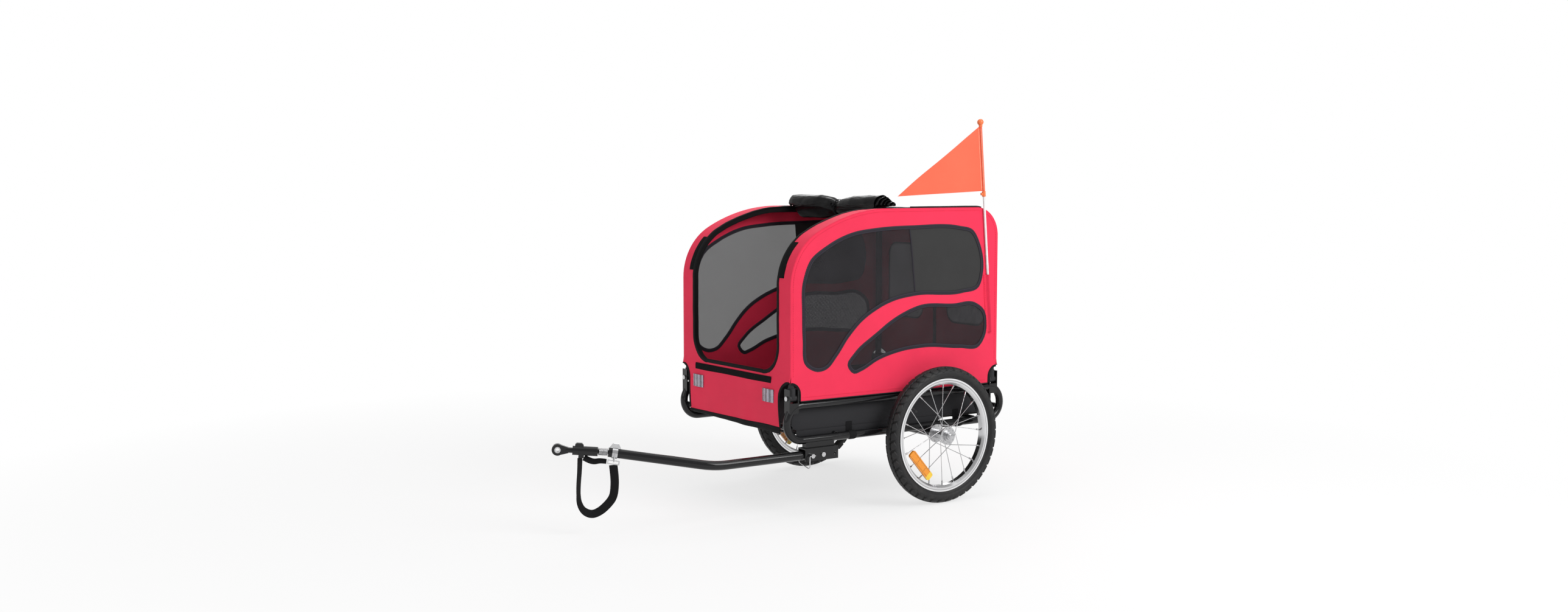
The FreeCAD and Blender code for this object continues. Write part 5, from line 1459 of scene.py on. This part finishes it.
class TRAILER_OT_tyres(bpy.types.Operator):
    """Tyres with smooth walls, scalloped shoulder blocks, a middle rib and a valve"""

    bl_idname = "trailer.tyres"
    bl_label = "Tyres"

    def execute(self, context):
        w = context.scene.trailer_wheels
        steeps = [*np.linspace(-138, -76, 13), *np.linspace(-74, 74, 75), *np.linspace(76, 138, 13)]
        bead = [(x, r, TREAD_DEPTH) for x, r in (*BEAD, *((-x, r) for x, r in BEAD[-2::-1]))]
        around = w.blocks * BLOCK_STEPS
        rings = [[tyre_spot(steep, i / BLOCK_STEPS, w) for steep in steeps] + bead
                 for i in range(BLOCK_STEPS)]
        for side, sign in SIDES:
            points, flat = [], []
            for i, angle in enumerate(round_angles(around)):
                for x, r, height in rings[i % BLOCK_STEPS]:
                    points.append((sign * (w.track + x), r * math.cos(angle), w.radius + r * math.sin(angle)))
                    flat.append((angle * r, height))
            shell = Shell().add(points, tube_faces(around, len(rings[0]), closed=True), flat)
            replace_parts(shell.piece(side + "_tyre_rubber", "tyre_rubber", side + "_wheel"), side + "_tyre")
            hub = Vector((sign * w.track, 0, w.radius))
            stem = REARWARD * math.cos(VALVE_TURN) + UP * math.sin(VALVE_TURN)
            spots, radii = zip(*VALVE)
            valve = lay_tube(Shell(), [hub + stem * r for r in spots], radii, 16)
            valve.piece(side + "_valve", "black_plastic", side + "_wheel")
        return {"FINISHED"}


NODE_FINISHES = {
    "powder_coat": ("left_side_loop", "right_side_loop", "cross_tubes", "axle_beam", "left_hoop",
                    "right_hoop", "hinge_brackets", "tow_bracket", "tow_bar", "coupler_sleeve", "hitch_eye"),
    "black_plastic": ("left_knuckles", "right_knuckles"),
    "polished_rim": ("left_rim", "right_rim"),
    "bright_steel": ("left_spokes", "right_spokes", "strap_clamp", "pin_bail", "eye_bushing",
                     "lock_pin", "hinge_bolts", "tow_bolt"),
    "satin_steel": ("left_hub", "right_hub", "left_bearings", "right_bearings", "left_axle", "right_axle",
                    "left_release_button", "right_release_button"),
    "amber_lens": ("left_spoke_reflector", "right_spoke_reflector"),
    "silver_reflector": ("front_reflectors",),
    "red_lens": ("rear_reflectors",),
    "floor_board": ("floor_board",),
}
BEVELLED = ("hinge_brackets", "tow_bracket", "strap_clamp", "coupler_sleeve", "hitch_eye", "front_reflectors",
            "rear_reflectors", "left_spoke_reflector", "right_spoke_reflector", "tow_bolt", "hinge_bolts")


class TRAILER_OT_hard_pieces(bpy.types.Operator):
    """Finishes on the metal, plastic and wooden pieces of the frame"""

    bl_idname = "trailer.hard_pieces"
    bl_label = "Metal and plastic"

    def execute(self, context):
        for name, nodes in NODE_FINISHES.items():
            for node in nodes:
                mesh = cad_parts[node].data
                mesh.materials.clear()
                mesh.materials.append(finish_for(name))
        for node in BEVELLED:
            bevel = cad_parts[node].modifiers.new("Rounded edges", "BEVEL")
            bevel.width = 0.003 if "reflector" in node else 0.0006
            bevel.segments = 3
            bevel.limit_method = "ANGLE"
            bevel.angle_limit = math.radians(40)
        return {"FINISHED"}


# The camera, fitted to the photograph, and the lamps with their power and size
EYE, EYE_TURN, EYE_TILT, EYE_LENS = (3558.9, -2736.6, 916.5), math.radians(55.8), math.radians(4.8), 34.25
LAMPS = (("Key", (3400, 900, 2600), 105.0, 2.4), ("Front", (300, -3600, 2200), 22.0, 2.6),
         ("Top", (0, 0, 3200), 26.0, 3.0), ("Back", (-2600, 1800, 1900), 30.0, 2.0))


def look(name, data, spot, way):
    """A camera or lamp at a place, looking along a direction."""
    holder = bpy.data.objects.new(name, data)
    holder.location = spot
    holder.rotation_mode = "QUATERNION"
    holder.rotation_quaternion = way.to_track_quat("-Z", "Y")
    bpy.context.scene.collection.objects.link(holder)
    return holder


class TRAILER_OT_stage(bpy.types.Operator):
    """Pale floor, soft light and a camera at the photograph's angle"""

    bl_idname = "trailer.stage"
    bl_label = "Stage"

    def execute(self, context):
        scene = context.scene
        scene.view_settings.view_transform = "Standard"
        camera = bpy.data.cameras.new("Camera")
        camera.sensor_width = 36.0
        camera.lens = EYE_LENS
        camera.clip_end = 200.0
        level = REARWARD * math.cos(EYE_TURN) - LEFT * math.sin(EYE_TURN)
        way = level * math.cos(EYE_TILT) - UP * math.sin(EYE_TILT)
        scene.camera = look("Camera", camera, place(EYE), way)

        bpy.ops.mesh.primitive_plane_add(size=60.0)
        floor = context.object
        floor.name = "floor"
        paper = Finish("paper", base_color=(0.9, 0.9, 0.9), roughness=0.9, specular_ior_level=0.0)
        glow = paper.node("ShaderNodeEmission", inputs={"Color": (1.0, 1.0, 1.0), "Strength": 1.0})
        away = paper.node("ShaderNodeVectorMath", {"operation": "LENGTH"}, {0: paper.coordinates()}, "Value")
        bare = paper.seen(1.0) * (0.7 + away.above(0.9, 2.6) * 0.3)
        lit = Socket(paper, paper.shader.outputs[0])
        both = paper.node("ShaderNodeMixShader", inputs={0: bare, 1: lit, 2: glow})
        paper.link(paper.tree.nodes["Material Output"].inputs["Surface"], both)
        floor.data.materials.append(paper.material)

        scene.world = bpy.data.worlds.new("World")
        scene.world.use_nodes = True
        sky = Nodes(scene.world.node_tree)
        backdrop = sky.tree.nodes["Background"]
        sky.link(backdrop.inputs["Color"], (1.0, 1.0, 1.0))
        sky.link(backdrop.inputs["Strength"], sky.seen(0.25) * 0.62 + 0.38)

        for name, spot, power, size in LAMPS:
            lamp = bpy.data.lights.new(name, "AREA")
            lamp.energy = power
            lamp.size = size
            look(name, lamp, place(spot), place((0, -200, 500)) - place(spot))
        return {"FINISHED"}


class TRAILER_PT_panel(bpy.types.Panel):
    """Lists the steps that dress the trailer"""

    bl_idname = "TRAILER_PT_panel"
    bl_label = "Dog bike trailer"
    bl_space_type = "VIEW_3D"
    bl_region_type = "UI"
    bl_category = "Trailer"

    def draw(self, context):
        for operator in OPERATORS:
            self.layout.operator(operator.bl_idname)
        for name in SETTINGS:
            group = getattr(context.scene, name)
            box = self.layout.box()
            for key in group.bl_rna.properties.keys():
                if key not in ("name", "rna_type"):
                    box.prop(group, key)


SETTINGS = {"trailer_cabin": CabinSettings, "trailer_colours": ColourSettings,
            "trailer_wheels": WheelSettings}
OPERATORS = (TRAILER_OT_stage, TRAILER_OT_straps, TRAILER_OT_spring, TRAILER_OT_hard_pieces,
             TRAILER_OT_tyres, TRAILER_OT_side_panels, TRAILER_OT_cover, TRAILER_OT_end_panels,
             TRAILER_OT_tray, TRAILER_OT_roll, TRAILER_OT_flag)


def register():
    for item in (*SETTINGS.values(), *OPERATORS, TRAILER_PT_panel):
        bpy.utils.register_class(item)
    for name, group in SETTINGS.items():
        setattr(bpy.types.Scene, name, bpy.props.PointerProperty(type=group))


def unregister():
    for name in SETTINGS:
        delattr(bpy.types.Scene, name)
    for item in reversed((*SETTINGS.values(), *OPERATORS, TRAILER_PT_panel)):
        bpy.utils.unregister_class(item)


def main():
    register()
    for operator in OPERATORS:
        group, name = operator.bl_idname.split(".")
        getattr(getattr(bpy.ops, group), name)()


if __name__ == "__main__":
    main()
